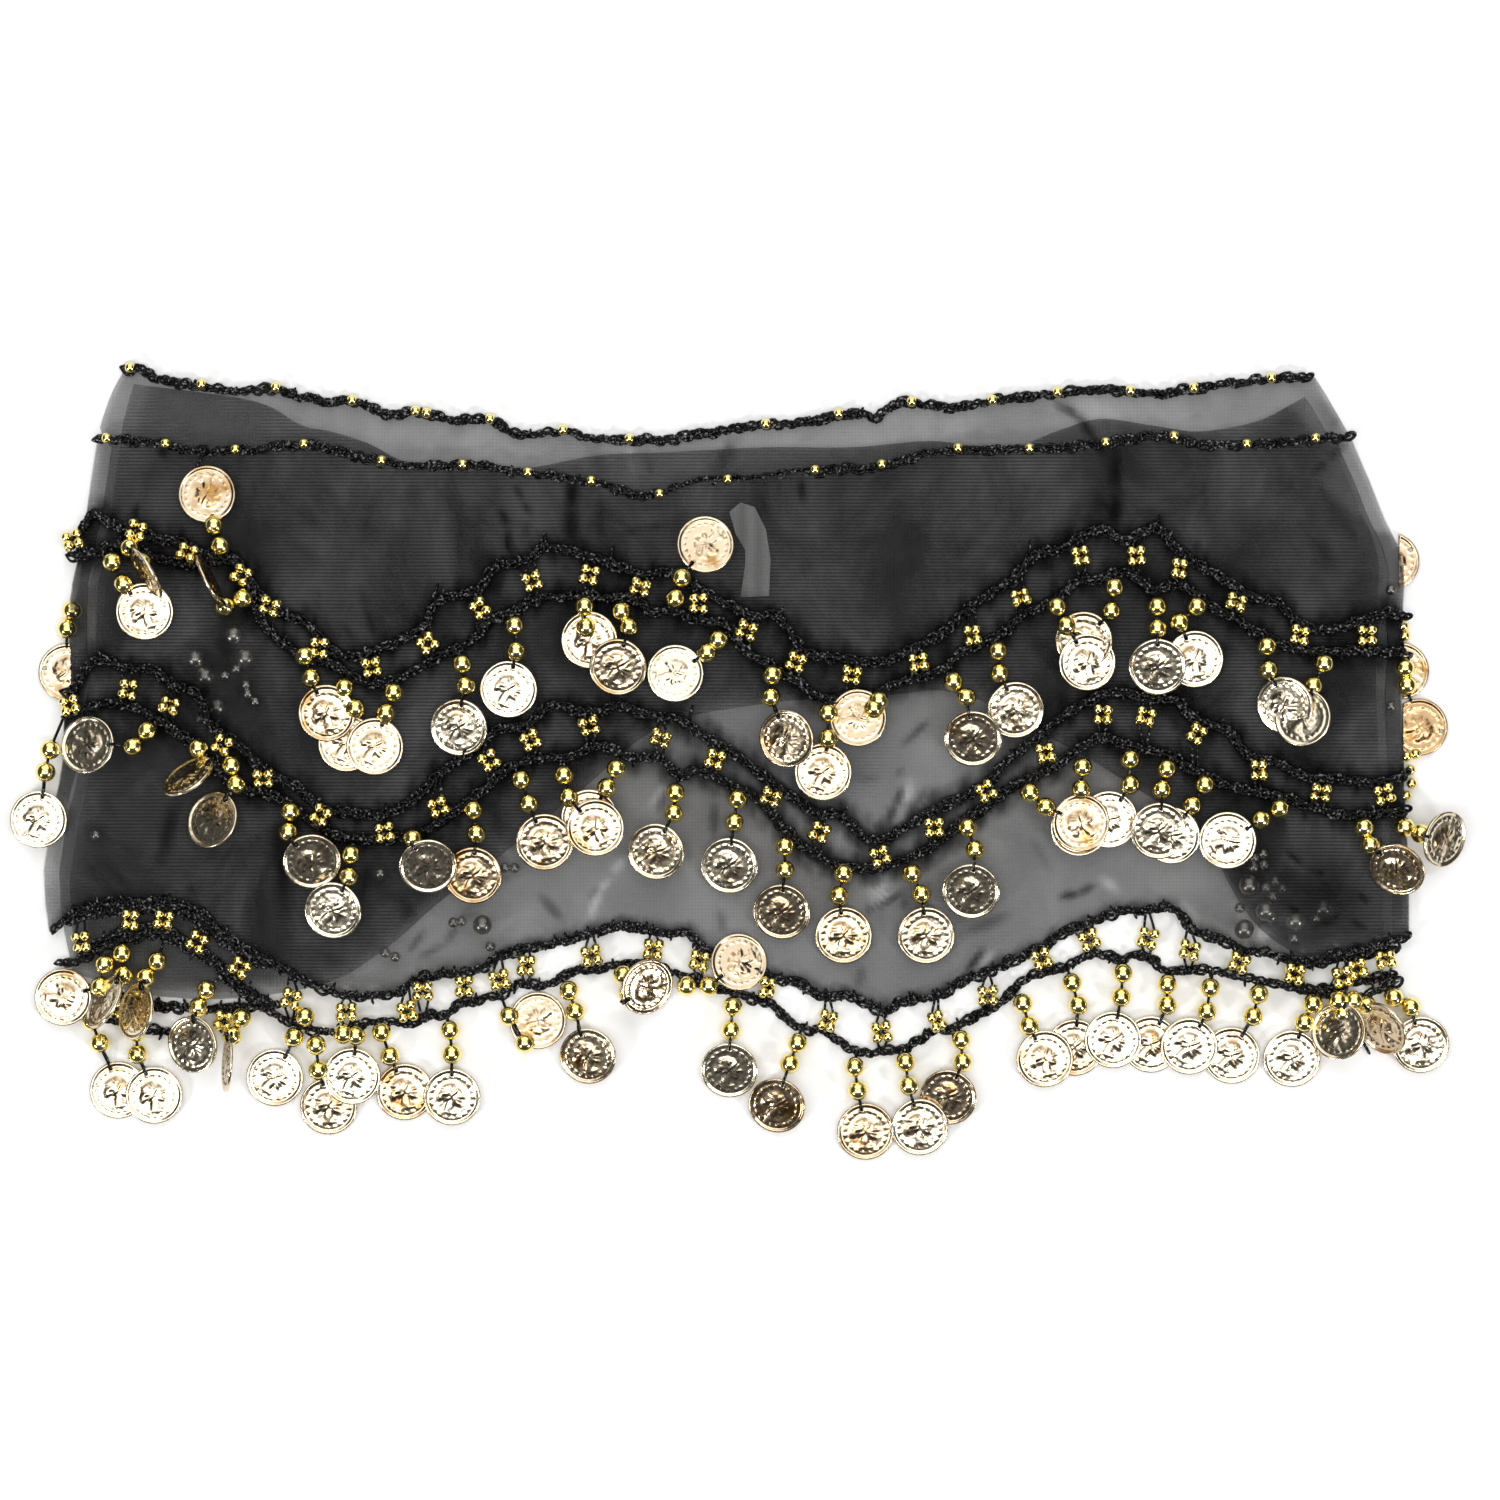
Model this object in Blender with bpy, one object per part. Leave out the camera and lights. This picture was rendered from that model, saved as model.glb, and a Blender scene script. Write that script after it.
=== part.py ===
"""Belly dance hip scarf, laid flat and wound over itself.

A strip of sheer chiffon lies in three stretches, one on another: an inner, a back and a front
stretch.  A crocheted cord edges the top of the back and of the front stretch.  Three wavy rows of
crocheted trim cross the front stretch, the last along its hem.  Each row is two chains, linked by
bead flowers, with danglers of two beads and a stamped coin on its lower chain.

+X runs along the scarf to its right end, +Y from hem to top edge and +Z up from the surface that
it lies on.  The origin is on the flat underside, under the upper half of the cloth.
"""
import math

import bpy
from mathutils import Vector

MM = 0.001

# ---- driving dimensions, in millimetres --------------------------------------------------------
CLOTH_WALL = 1.0
LAYER_GAP = 0.3
CHAIN_WIDTH = 2.8
CHAIN_THICKNESS = 2.0
BEAD_DIAMETER = 6.4
COIN_DIAMETER = 18.0
COIN_THICKNESS = 1.0
CHAIN_TO_BEAD = 3.8        # from the lower chain's middle to the first bead's centre
BEAD_TO_BEAD = 7.2
THREAD_REACH = 2.5         # where the thread is full width, just past the chain
THREAD_RADIUS = 0.6
BEAD_TO_COIN = 12.4        # from the last bead's centre to the coin's
FLOWER_PITCH = 18.5
FLOWER_WIDTH = 5.0
STACK_STEP = 1.4           # each coin lies this much higher than one that it covers
REST_CLEARANCE = 0.35      # between a trim and the cloth that it lies on

LAYER_STEP = CLOTH_WALL + LAYER_GAP
FRONT_REST = 2 * LAYER_STEP          # the front stretch's underside, where it lies on the other two
EDGE_CLEARANCE = CHAIN_WIDTH / 2 + 0.7      # from a cord's middle to the cloth edge that it finishes

# Sections across the scarf, a row for each 16 mm of its length.  The numbers are heights in Y of
# the top edges, the chains of the three rows and the hem of the back stretch.
SECTION_COLUMNS = ("x", "back_top", "inner_top", "front_top", "row_1_upper", "row_1_lower",
                   "row_2_upper", "row_2_lower", "row_3_upper", "row_3_lower", "back_hem")
SECTIONS = (
    (-208, 88, 80, 66, 38, 29, -9, -19, -82, -97, -103),
    (-192, 89, 80, 66, 37, 31, -6, -18, -79, -91, -108),
    (-176, 84, 78, 64, 33, 27, -12, -27, -81, -93, -110),
    (-160, 81, 75, 63, 28, 28, -29, -42, -91, -105, -110),
    (-144, 82, 74, 64, 11, 2, -41, -48, -101, -116, -108),
    (-128, 79, 70, 63, 0, -5, -51, -58, -108, -120, -104),
    (-112, 75, 64, 59, 1, -10, -51, -59, -109, -117, -94),
    (-96, 74, 59, 58, 15, -2, -40, -55, -103, -116, -80),
    (-80, 72, 58, 57, 23, 8, -28, -43, -99, -110, -68),
    (-64, 68, 59, 55, 31, 16, -21, -34, -94, -106, -55),
    (-48, 67, 61, 53, 29, 17, -19, -31, -90, -101, -42),
    (-32, 66, 61, 49, 24, 14, -20, -34, -88, -100, -28),
    (-16, 68, 62, 52, 20, 10, -25, -39, -90, -103, -21),
    (0, 70, 64, 53, 12, 1, -35, -44, -100, -109, -18),
    (16, 72, 66, 56, 4, -9, -46, -59, -105, -118, -16),
    (32, 74, 66, 57, -3, -15, -53, -68, -109, -124, -15),
    (48, 77, 67, 59, -2, -11, -57, -67, -113, -126, -14),
    (64, 77, 67, 63, 6, -5, -49, -59, -108, -120, -13),
    (80, 79, 65, 63, 19, 4, -39, -47, -101, -112, -18),
    (96, 81, 70, 63, 31, 14, -25, -38, -93, -102, -27),
    (112, 82, 74, 65, 38, 22, -15, -28, -86, -96, -36),
    (128, 81, 73, 67, 37, 20, -15, -32, -83, -97, -46),
    (144, 83, 71, 65, 27, 16, -22, -39, -89, -101, -57),
    (160, 85, 73, 64, 17, 7, -33, -44, -95, -104, -84),
    (176, 86, 80, 66, 8, 0, -39, -48, -98, -107, -96),
    (192, 86, 80, 67, 8, -1, -41, -52, -95, -110, -94),
    (208, 86, 80, 67, 11, -1, -39, -51, -91, -104, -91),
)

# The rounded side folds: X of the left and of the right one at some heights.
SIDE_COLUMNS = ("y", "left", "right")
SIDES = (
    (90, -195, 178),
    (77, -200, 186),
    (67, -203, 192),
    (47, -206, 200),
    (32, -209, 207),
    (18, -211, 209),
    (-10, -212, 209),
    (-38, -215, 209),
    (-60, -219, 210),
    (-75, -220, 210),
    (-100, -217, 211),
)

# Danglers, a row for each: X of its root on the lower chain, the way that its beads point (degrees
# from straight down, positive to the right), the turn from there to its coin, the beads that show
# before the coin, and the coin's lean about its thread.
DANGLER_COLUMNS = ("x", "swing", "bend", "beads", "lean")
DANGLERS = {
    "row_1": (
        (-198, 25, 10, 2, 0), (-164, -165, 0, 2, 0), (-157, -70, 5, 2, 55), (-138, 20, 5, 2, 10),
        (-125, 30, -45, 2, 0), (-109, -25, 5, 2, 0), (-88, 10, -15, 2, 5), (-72, 5, -15, 2, 0),
        (-50, 5, 0, 1, 15), (-38, 25, -45, 2, 0), (-21, 165, -20, 2, 0), (-8, -45, -15, 2, 0),
        (9, 0, 25, 2, 30), (27, 0, -10, 2, 0), (43, -35, -25, 1, 20), (67, 35, -25, 2, 5),
        (81, 5, 20, 2, 0), (99, 25, 5, 2, 0), (117, -5, -40, 2, 0), (131, 0, 0, 2, 10),
        (143, -45, 70, 2, 0), (165, 0, 20, 2, 40), (183, -25, 5, 2, 40), (208, -5, 25, 2, 55),
    ),
    "row_2": (
        (-215, -15, 5, 2, 0), (-187, -40, -50, 2, 10), (-171, 15, -75, 1, 50), (-160, 10, -40, 2, 30),
        (-142, -5, 45, 2, 10), (-123, -5, -20, 2, 0), (-102, 25, 10, 1, 10), (-85, 10, -15, 2, 0),
        (-69, 20, 0, 2, 0), (-56, 15, 30, 2, 0), (-39, -30, 0, 2, 0), (-21, -5, -20, 2, 0),
        (-1, -10, 5, 2, 5), (13, 0, -5, 2, 5), (32, -10, 20, 2, 0), (54, 25, -20, 2, 0),
        (71, 20, -30, 2, 5), (91, 50, 20, 2, 0), (107, -5, 5, 2, 0), (122, 0, -30, 2, 0),
        (134, -15, 10, 2, 0), (145, -30, -5, 2, 5), (169, -60, 0, 2, 0), (195, 20, 25, 2, 30),
        (206, 75, 5, 1, 0),
    ),
    "row_3": (
        (-201, -15, -60, 2, 0), (-195, 5, -40, 2, 50), (-184, -35, 25, 2, 50), (-168, -25, 15, 2, 25),
        (-158, -30, 25, 1, 55), (-138, -30, 0, 2, 0), (-134, 5, 10, 2, 0), (-121, 0, -10, 1, 0),
        (-114, 20, 5, 2, 0), (-92, 5, -5, 2, 0), (-76, 25, 60, 1, 0), (-55, 15, 0, 2, 20),
        (-38, 40, 30, 1, 40), (-17, 90, 40, 2, 0), (-3, 0, 0, 2, 0), (17, -20, 5, 2, 0),
        (36, 5, 5, 2, 0), (51, 5, 10, 2, 0), (69, 5, -30, 2, 0), (88, 20, 10, 2, 0),
        (104, 15, -20, 2, 0), (120, -5, -5, 2, 0), (134, 5, -25, 2, 0), (147, -5, -20, 2, 0),
        (163, -15, -15, 2, 0), (179, -20, 5, 2, 0), (188, 10, -20, 1, 30), (193, 65, -30, 1, 50),
        (204, 60, -45, 2, 0),
    ),
    "back_trim_left": (
        (-208, -5, 25, 2, 0), (-190, 5, 10, 2, 0),
    ),
    "back_trim_right": (),
}

# The coins that look out from under the side folds: centre, and the fold's clear line in X.
SIDE_COIN_COLUMNS = ("name", "x", "y", "clear_x")
SIDE_COINS = (
    ("side_coin_left", -216.0, -7.0, -213.2),
    ("side_coin_right_upper", 208.0, 29.0, 209.4),
    ("side_coin_right_lower", 214.5, -23.0, 209.5),
)

# Broad soft folds of the front stretch: both ends, height and half width.
FOLD_COLUMNS = ("x0", "y0", "x1", "y1", "height", "half_width")
BROAD_FOLDS = (
    (-28, -48, -62, -84, 1.6, 15),
    (24, -22, 58, -50, 1.4, 14),
    (62, -92, 104, -62, 1.6, 14),
)

# The care label, folded flat between the back and the front stretch.
LABEL_OUTLINE = ((-1, 44), (8, 44), (9, 36), (11, 17), (1, 17), (2, 34))

BLACK_THREAD = (0.012, 0.011, 0.012)
BLACK_CHIFFON = (0.02, 0.019, 0.02)
GOLD = (0.83, 0.56, 0.2)
LABEL_WHITE = (0.55, 0.55, 0.53)


# ---- plain helpers ---------------------------------------------------------------------------
def smooth_step(low, high, value):
    """Rise smoothly from 0 at low to 1 at high."""
    t = min(max((value - low) / (high - low), 0.0), 1.0)
    return t * t * (3.0 - 2.0 * t)


def table_curve(table, columns, name):
    """A smooth function of the first column that passes through the named one."""
    index = columns.index(name)
    places = [row[0] for row in table]
    values = [row[index] for row in table]
    if places[0] > places[-1]:
        places.reverse()
        values.reverse()

    def value_at(place):
        place = min(max(place, places[0]), places[-1])
        i = max(k for k in range(len(places) - 1) if places[k] <= place)
        span = places[i + 1] - places[i]
        t = (place - places[i]) / span
        before = values[i - 1] if i > 0 else values[i]
        after = values[i + 2] if i + 2 < len(values) else values[i + 1]
        start = (values[i + 1] - before) / 2.0
        end = (after - values[i]) / 2.0
        return ((2 * t**3 - 3 * t**2 + 1) * values[i] + (t**3 - 2 * t**2 + t) * start
                + (3 * t**2 - 2 * t**3) * values[i + 1] + (t**3 - t**2) * end)

    return value_at


HEIGHT_OF = {name: table_curve(SECTIONS, SECTION_COLUMNS, name) for name in SECTION_COLUMNS[1:]}
ROW_CHAINS = [HEIGHT_OF[name] for name in SECTION_COLUMNS if name.startswith("row_")]
LEFT_SIDE = table_curve(SIDES, SIDE_COLUMNS, "left")
RIGHT_SIDE = table_curve(SIDES, SIDE_COLUMNS, "right")


def slope_factor(curve, x):
    """How much longer a curve is than its run in X, at x."""
    rise = (curve(x + 1.0) - curve(x - 1.0)) / 2.0
    return min(math.sqrt(1.0 + rise * rise), 1.8)


def outline_distance(x, y, outline):
    """Distance from a point to a closed outline: positive outside it, negative inside."""
    inside = False
    nearest = 1e9
    for (ax, ay), (bx, by) in zip(outline, outline[1:] + outline[:1]):
        if (ay > y) != (by > y) and x < (bx - ax) * (y - ay) / (by - ay) + ax:
            inside = not inside
        nearest = min(nearest, segment_distance(x, y, ax, ay, bx, by))
    return -nearest if inside else nearest


def segment_distance(x, y, ax, ay, bx, by):
    """Distance from a point to a straight segment."""
    dx, dy = bx - ax, by - ay
    t = ((x - ax) * dx + (y - ay) * dy) / max(dx * dx + dy * dy, 1e-9)
    t = min(max(t, 0.0), 1.0)
    return math.hypot(x - ax - t * dx, y - ay - t * dy)


def material(name, colour, roughness, metallic):
    """A plain finish."""
    finish = bpy.data.materials.new(name)
    finish.use_nodes = True
    shader = finish.node_tree.nodes["Principled BSDF"]
    shader.inputs["Base Color"].default_value = (*colour, 1.0)
    shader.inputs["Roughness"].default_value = roughness
    shader.inputs["Metallic"].default_value = metallic
    return finish


def add_object(name, vertices, faces, finish):
    """A mesh object from millimetre points."""
    mesh = bpy.data.meshes.new(name)
    mesh.from_pydata([Vector(v) * MM for v in vertices], [], faces)
    mesh.materials.append(finish)
    piece = bpy.data.objects.new(name, mesh)
    bpy.context.scene.collection.objects.link(piece)
    return piece


def close_sheet(top, bottom, faces):
    """Points and faces of the closed wall between two matching surfaces."""
    count = len(top)
    edges = {(a, b) for face in faces for a, b in zip(face, face[1:] + face[:1])}
    shell = [tuple(face) for face in faces]
    shell += [tuple(i + count for i in reversed(face)) for face in faces]
    shell += [(b, a, a + count, b + count) for a, b in sorted(edges) if (b, a) not in edges]
    return list(top) + list(bottom), shell


def triangles(faces):
    """The faces, each split into triangles."""
    return [(face[0], face[i], face[i + 1]) for face in faces for i in range(1, len(face) - 1)]


def grid_faces(columns, rows):
    """Quads of a grid whose points run down each column in turn, facing up."""
    return [(c * rows + r, c * rows + r + 1, (c + 1) * rows + r + 1, (c + 1) * rows + r)
            for c in range(columns - 1) for r in range(rows - 1)]


# ---- the three stretches of cloth ------------------------------------------------------------
def spread(first, last, count):
    """Even places from first to last."""
    return [first + (last - first) * i / (count - 1) for i in range(count)]


def inner_top_edge(x):
    return HEIGHT_OF["inner_top"](x)


def back_top_edge(x):
    curve = HEIGHT_OF["back_top"]
    return curve(x) - EDGE_CLEARANCE * slope_factor(curve, x)


def front_top_edge(x):
    curve = HEIGHT_OF["front_top"]
    return curve(x) - EDGE_CLEARANCE * slope_factor(curve, x)


def front_hem(x):
    curve = HEIGHT_OF["row_3_upper"]
    return curve(x) + EDGE_CLEARANCE * slope_factor(curve, x)


BACK_INSET = 5.0           # the back stretch stays this far inside the front one's side folds
INNER_INSET = 8.0
TOP_EDGE_INSET = 1.5


def back_outline():
    """The back stretch's outline below the top edge of the front one, anticlockwise from the left."""
    hem = [(x, HEIGHT_OF["back_hem"](x)) for x in spread(-214, 207, 54)]
    right = [(RIGHT_SIDE(y) - BACK_INSET, y) for y in spread(-88, 70, 9)]
    left = [(LEFT_SIDE(y) + BACK_INSET, y) for y in spread(70, -98, 9)]
    return hem + right + left


BACK_OUTLINE = back_outline()
LABEL_POINTS = list(LABEL_OUTLINE)
DRAPE_START = 15.0         # the cloth above starts to sink this far beyond what it lies on
DRAPE_END = 30.0


def front_rest(x, y):
    """Height of the front stretch's underside, which sinks to the floor beyond the layers below."""
    on_back = 1.0 - smooth_step(DRAPE_START, DRAPE_END, outline_distance(x, y, BACK_OUTLINE))
    on_label = 1.0 - smooth_step(DRAPE_START, DRAPE_END, outline_distance(x, y, LABEL_POINTS))
    height = FRONT_REST * on_back + LAYER_STEP * on_label
    return height


def broad_fold_height(x, y):
    """Lift of the soft folds at a point."""
    lift = 0.0
    for x0, y0, x1, y1, height, half_width in BROAD_FOLDS:
        away = segment_distance(x, y, x0, y0, x1, y1) / half_width
        lift += height * (1.0 - smooth_step(0.0, 1.0, away))
    return lift


def build_inner_stretch(finish):
    """The lowest stretch, flat on the surface."""
    rows, columns = 4, 19
    top, bottom = [], []
    for u in spread(0.0, 1.0, columns):
        for v in spread(0.0, 1.0, rows):
            level = 78 + (-100 - 78) * v
            left = LEFT_SIDE(level) + INNER_INSET
            right = RIGHT_SIDE(level) - INNER_INSET
            x = left + (right - left) * u
            hem = HEIGHT_OF["back_hem"](x) + INNER_INSET
            start = inner_top_edge(x) - TOP_EDGE_INSET
            y = start + (hem - start) * v
            top.append((x, y, CLOTH_WALL))
            bottom.append((x, y, 0.0))
    points, faces = close_sheet(top, bottom, grid_faces(columns, rows))
    add_object("inner_stretch", points, faces, finish)


def build_back_stretch(finish):
    """The middle stretch: on the inner one, and down on the surface past that one's top edge."""
    columns = 23
    drop_row, lifted_row = 2.2, 0.8      # heights above the inner stretch's top edge
    lower = (0.08, 0.3, 0.55, 0.8, 1.0)
    top, bottom = [], []
    for u in spread(0.0, 1.0, columns):
        levels = []
        for level in (88, 82, 78):
            levels.append((level, None))
        levels += [(76 + (-100 - 76) * v, v) for v in lower]
        for i, (level, v) in enumerate(levels):
            inset = BACK_INSET * (1.0 - smooth_step(68.0, 74.0, level))
            left = LEFT_SIDE(level) + inset
            right = RIGHT_SIDE(level) - inset
            x = left + (right - left) * u
            start = inner_top_edge(x)
            if i == 0:
                y = back_top_edge(x)
            elif i == 1:
                y = start + drop_row
            elif i == 2:
                y = start + lifted_row
            else:
                y = start + (HEIGHT_OF["back_hem"](x) - start) * v
            base = 0.0 if i < 2 else LAYER_STEP
            top.append((x, y, base + CLOTH_WALL))
            bottom.append((x, y, base))
    points, faces = close_sheet(top, bottom, grid_faces(columns, 3 + len(lower)))
    add_object("back_stretch", points, faces, finish)


LIP_DROP = 1.6             # how far the side folds' outer corner is rounded down
LIP_REACH = 5.0
LIP_WALL = 1.4


def lip_bottom(inset, rest):
    """Underside near a side fold: the fold's wall stands on the surface."""
    return 0.0 if inset < LIP_WALL else rest


def lip_top(inset, rest):
    """Upper side near a side fold, rounded down towards the edge."""
    return rest + CLOTH_WALL - LIP_DROP * (1.0 - min(inset / LIP_REACH, 1.0)) ** 2


def build_front_stretch(finish):
    """The top stretch, with rounded side folds that reach the surface, broad folds and a hem."""
    rows = 12
    insets = [0.0, 1.3, 1.8, LIP_REACH]
    middle = spread(0.0, 1.0, 33)[1:-1]
    columns = len(insets) * 2 + len(middle)
    top, bottom = [], []
    for c in range(columns):
        for v in spread(0.0, 1.0, rows):
            level = 67 + (-92 - 67) * v
            left, right = LEFT_SIDE(level), RIGHT_SIDE(level)
            if c < len(insets):
                x, inset = left + insets[c], insets[c]
            elif c >= columns - len(insets):
                inset = insets[columns - 1 - c]
                x = right - inset
            else:
                u = middle[c - len(insets)]
                x = left + LIP_REACH + (right - left - 2 * LIP_REACH) * u
                inset = LIP_REACH
            y = front_top_edge(x) + (front_hem(x) - front_top_edge(x)) * v
            rest = front_rest(x, y)
            fold = broad_fold_height(x, y)
            top.append((x, y, lip_top(inset, rest) + fold))
            bottom.append((x, y, lip_bottom(inset, rest) + fold))
    points, faces = close_sheet(top, bottom, grid_faces(columns, rows))
    add_object("front_stretch", points, faces, finish)


# ---- what the trims lie on -------------------------------------------------------------------
def on_front(x, y, reach):
    """Height that clears the front stretch everywhere within reach of a point."""
    ring = [(x, y)]
    for k in range(8):
        turn = math.tau * k / 8
        ring.append((x + reach * math.cos(turn), y + reach * math.sin(turn)))
    highest = max(front_rest(px, py) + broad_fold_height(px, py) for px, py in ring)
    return highest + CLOTH_WALL + REST_CLEARANCE


def below_front(x, y, reach):
    """Height that clears the back stretch, and the surface beyond it, near the hem."""
    return front_rest(x, y) + REST_CLEARANCE


def on_surface(x, y, reach):
    """Height just above the surface that the scarf lies on."""
    return REST_CLEARANCE


# ---- cords and rows of trim ------------------------------------------------------------------
def build_edge_cord(name, curve, first_x, last_x, base, finish):
    """A crocheted cord along a top edge."""
    stations = spread(first_x, last_x, 33)
    top, bottom = [], []
    for x in stations:
        half = CHAIN_WIDTH / 2 * slope_factor(curve, x)
        for y in (curve(x) + half, curve(x) - half):
            top.append((x, y, base + CHAIN_THICKNESS))
            bottom.append((x, y, base))
    points, faces = close_sheet(top, bottom, grid_faces(len(stations), 2))
    add_object(name, points, faces, finish)


def flower_places(upper, lower, first_x, last_x):
    """X of each bead flower, evenly spaced along the row."""
    places = [first_x]
    x, run, step = first_x, 0.0, 0.5
    while x < last_x - FLOWER_PITCH / 2:
        rise = (upper(x + step) + lower(x + step) - upper(x) - lower(x)) / 2
        run += math.hypot(step, rise)
        x += step
        if run >= FLOWER_PITCH:
            places.append(x)
            run = 0.0
    places[-1] = last_x
    return places


def ladder_stations(upper, lower, first_x, last_x):
    """X of both sides of each flower."""
    stations = []
    for place in flower_places(upper, lower, first_x, last_x):
        half = FLOWER_WIDTH / 2 / max(slope_factor(upper, place), slope_factor(lower, place))
        stations += [place - half, place + half]
    return stations


def straight_runs(curve, stations):
    """The curve as the straight runs between stations."""
    def value_at(x):
        i = max([k for k in range(len(stations) - 1) if stations[k] <= x] or [0])
        t = (x - stations[i]) / (stations[i + 1] - stations[i])
        t = min(max(t, 0.0), 1.0)
        return curve(stations[i]) * (1.0 - t) + curve(stations[i + 1]) * t

    return value_at


def ladder_mesh(upper, lower, stations, rest):
    """Two chains joined by a rung at each flower, with the gaps between the flowers left open."""
    top, bottom = [], []
    for x in stations:
        upper_half = CHAIN_WIDTH / 2 * slope_factor(upper, x)
        lower_half = CHAIN_WIDTH / 2 * slope_factor(lower, x)
        high, low = upper(x), lower(x)
        heights = (high + upper_half, high - upper_half, low + lower_half, low - lower_half)
        for y in heights:
            base = rest(x, y, 6.0)
            top.append((x, y, base + CHAIN_THICKNESS))
            bottom.append((x, y, base))
    faces = grid_faces(len(stations), 4)
    gaps = [i for i in range(len(faces)) if i % 3 == 1 and (i // 3) % 2 == 1]
    faces = [face for i, face in enumerate(faces) if i not in gaps]
    return close_sheet(top, bottom, faces)


ROUND_PROFILE = tuple((math.cos(math.tau * k / 6), math.sin(math.tau * k / 6)) for k in range(6))
FLAT_PROFILE = ((1.0, 0.0), (0.9, 1.0), (-0.9, 1.0), (-1.0, 0.0), (-0.9, -1.0), (0.9, -1.0))


def loft(tip, sections):
    """Points and faces of a closed six-sided solid from a tip through its sections."""
    points = [tip]
    for centre, across, over, profile in sections:
        points += [centre + across * a + over * b for a, b in profile]
    sides = len(ROUND_PROFILE)
    faces = [(0, 1 + (k + 1) % sides, 1 + k) for k in range(sides)]
    for s in range(len(sections) - 1):
        for k in range(sides):
            a, b = 1 + s * sides + k, 1 + s * sides + (k + 1) % sides
            faces.append((a, b, b + sides, a + sides))
    last = 1 + (len(sections) - 1) * sides
    faces.append(tuple(last + k for k in range(sides)))
    return points, faces


# Stations along a coin, as parts of its radius: the distance from its centre and the half width.
COIN_STATIONS = ((-0.96, 0.36), (-0.42, 0.97), (0.42, 0.97), (0.96, 0.36))


def heading(degrees):
    """Unit direction in the plane, from straight down, positive to the right."""
    turn = math.radians(degrees)
    return Vector((math.sin(turn), -math.cos(turn), 0.0))


def dangler_places(lower, spec):
    """The root, bead centres and coin centre of one dangler, in the plane."""
    x, swing, bend, beads, _lean = spec
    along = heading(swing)
    root = Vector((x, lower(x), 0.0))
    bead_centres = [root + along * (CHAIN_TO_BEAD + BEAD_TO_BEAD * i) for i in range(beads)]
    coin = bead_centres[-1] + heading(swing + bend) * BEAD_TO_COIN
    return root, bead_centres, coin


def dangler_mesh(lower, spec, rest, lift):
    """One dangler as a closed solid: its thread, beads and coin in one."""
    x, swing, bend, beads, lean = spec
    root, bead_centres, coin = dangler_places(lower, spec)
    up = Vector((0.0, 0.0, 1.0))
    along, onward = heading(swing), heading(swing + bend)
    aside = up.cross(along)
    radius = BEAD_DIAMETER / 2 / math.cos(math.pi / 6)
    neck = 1.2

    def bead_level(place):
        return rest(place.x, place.y, 3.0) + lift + BEAD_DIAMETER / 2

    chain_level = up * (rest(root.x, root.y, 6.0) + CHAIN_THICKNESS / 2)
    tip = root + chain_level
    thread = root + along * THREAD_REACH + chain_level
    sections = [(thread, aside * THREAD_RADIUS, up * THREAD_RADIUS, ROUND_PROFILE)]
    for i, centre in enumerate(bead_centres):
        if i > 0:
            waist = (bead_centres[i - 1] + centre) / 2
            sections.append((waist + up * bead_level(waist), aside * neck, up * neck, ROUND_PROFILE))
        if i == beads - 1:
            aside = up.cross(heading(swing + bend / 2))
        sections.append((centre + up * bead_level(centre), aside * radius, up * radius, ROUND_PROFILE))

    tilt = math.radians(lean)
    coin_aside = up.cross(onward)
    across = coin_aside * math.cos(tilt) + up * math.sin(tilt)
    over = up * math.cos(tilt) - coin_aside * math.sin(tilt)
    half_coin = COIN_DIAMETER / 2
    raised = COIN_THICKNESS / 2 + half_coin * abs(math.sin(tilt))
    level = up * (rest(coin.x, coin.y, half_coin) + lift + raised)
    for offset, half_width in COIN_STATIONS:
        centre = coin + onward * (half_coin * offset) + level
        sections.append((centre, across * (half_coin * half_width), over * (COIN_THICKNESS / 2), FLAT_PROFILE))
    return loft(tip, sections)


def crosses_a_chain(coin):
    """Whether a coin lies over a chain of any row."""
    reach = COIN_DIAMETER / 2 + CHAIN_WIDTH / 2
    starts = spread(coin.x - 12, coin.x + 12, 7)
    return any(segment_distance(coin.x, coin.y, x, chain(x), x + 4.0, chain(x + 4.0)) < reach
               for chain in ROW_CHAINS for x in starts)


def build_row(name, upper, lower, first_x, last_x, rest, placed, finish):
    """One row of trim: the ladder of chains and flowers, with its danglers fused on."""
    stations = ladder_stations(upper, lower, first_x, last_x)
    points, faces = ladder_mesh(upper, lower, stations, rest)
    row = add_object(name, points, triangles(faces), finish)
    lower = straight_runs(lower, stations)
    if not DANGLERS[name]:
        return
    all_points, all_faces = [], []
    for spec in DANGLERS[name]:
        _root, _beads, coin = dangler_places(lower, spec)
        stacked = sum(1 for other in placed if (other - coin).length < COIN_DIAMETER)
        over_chain = CHAIN_THICKNESS + LAYER_GAP if crosses_a_chain(coin) else 0.0
        lift = STACK_STEP * stacked + over_chain
        placed.append(coin)
        these_points, these_faces = dangler_mesh(lower, spec, rest, lift)
        start = len(all_points)
        all_points += these_points
        all_faces += [tuple(i + start for i in face) for face in these_faces]
    danglers = add_object(name + "_danglers", all_points, triangles(all_faces), finish)
    danglers.hide_render = True
    danglers.display_type = "WIRE"
    union = row.modifiers.new("danglers", "BOOLEAN")
    union.operation = "UNION"
    union.solver = "EXACT"
    union.use_self = True
    union.object = danglers


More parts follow.
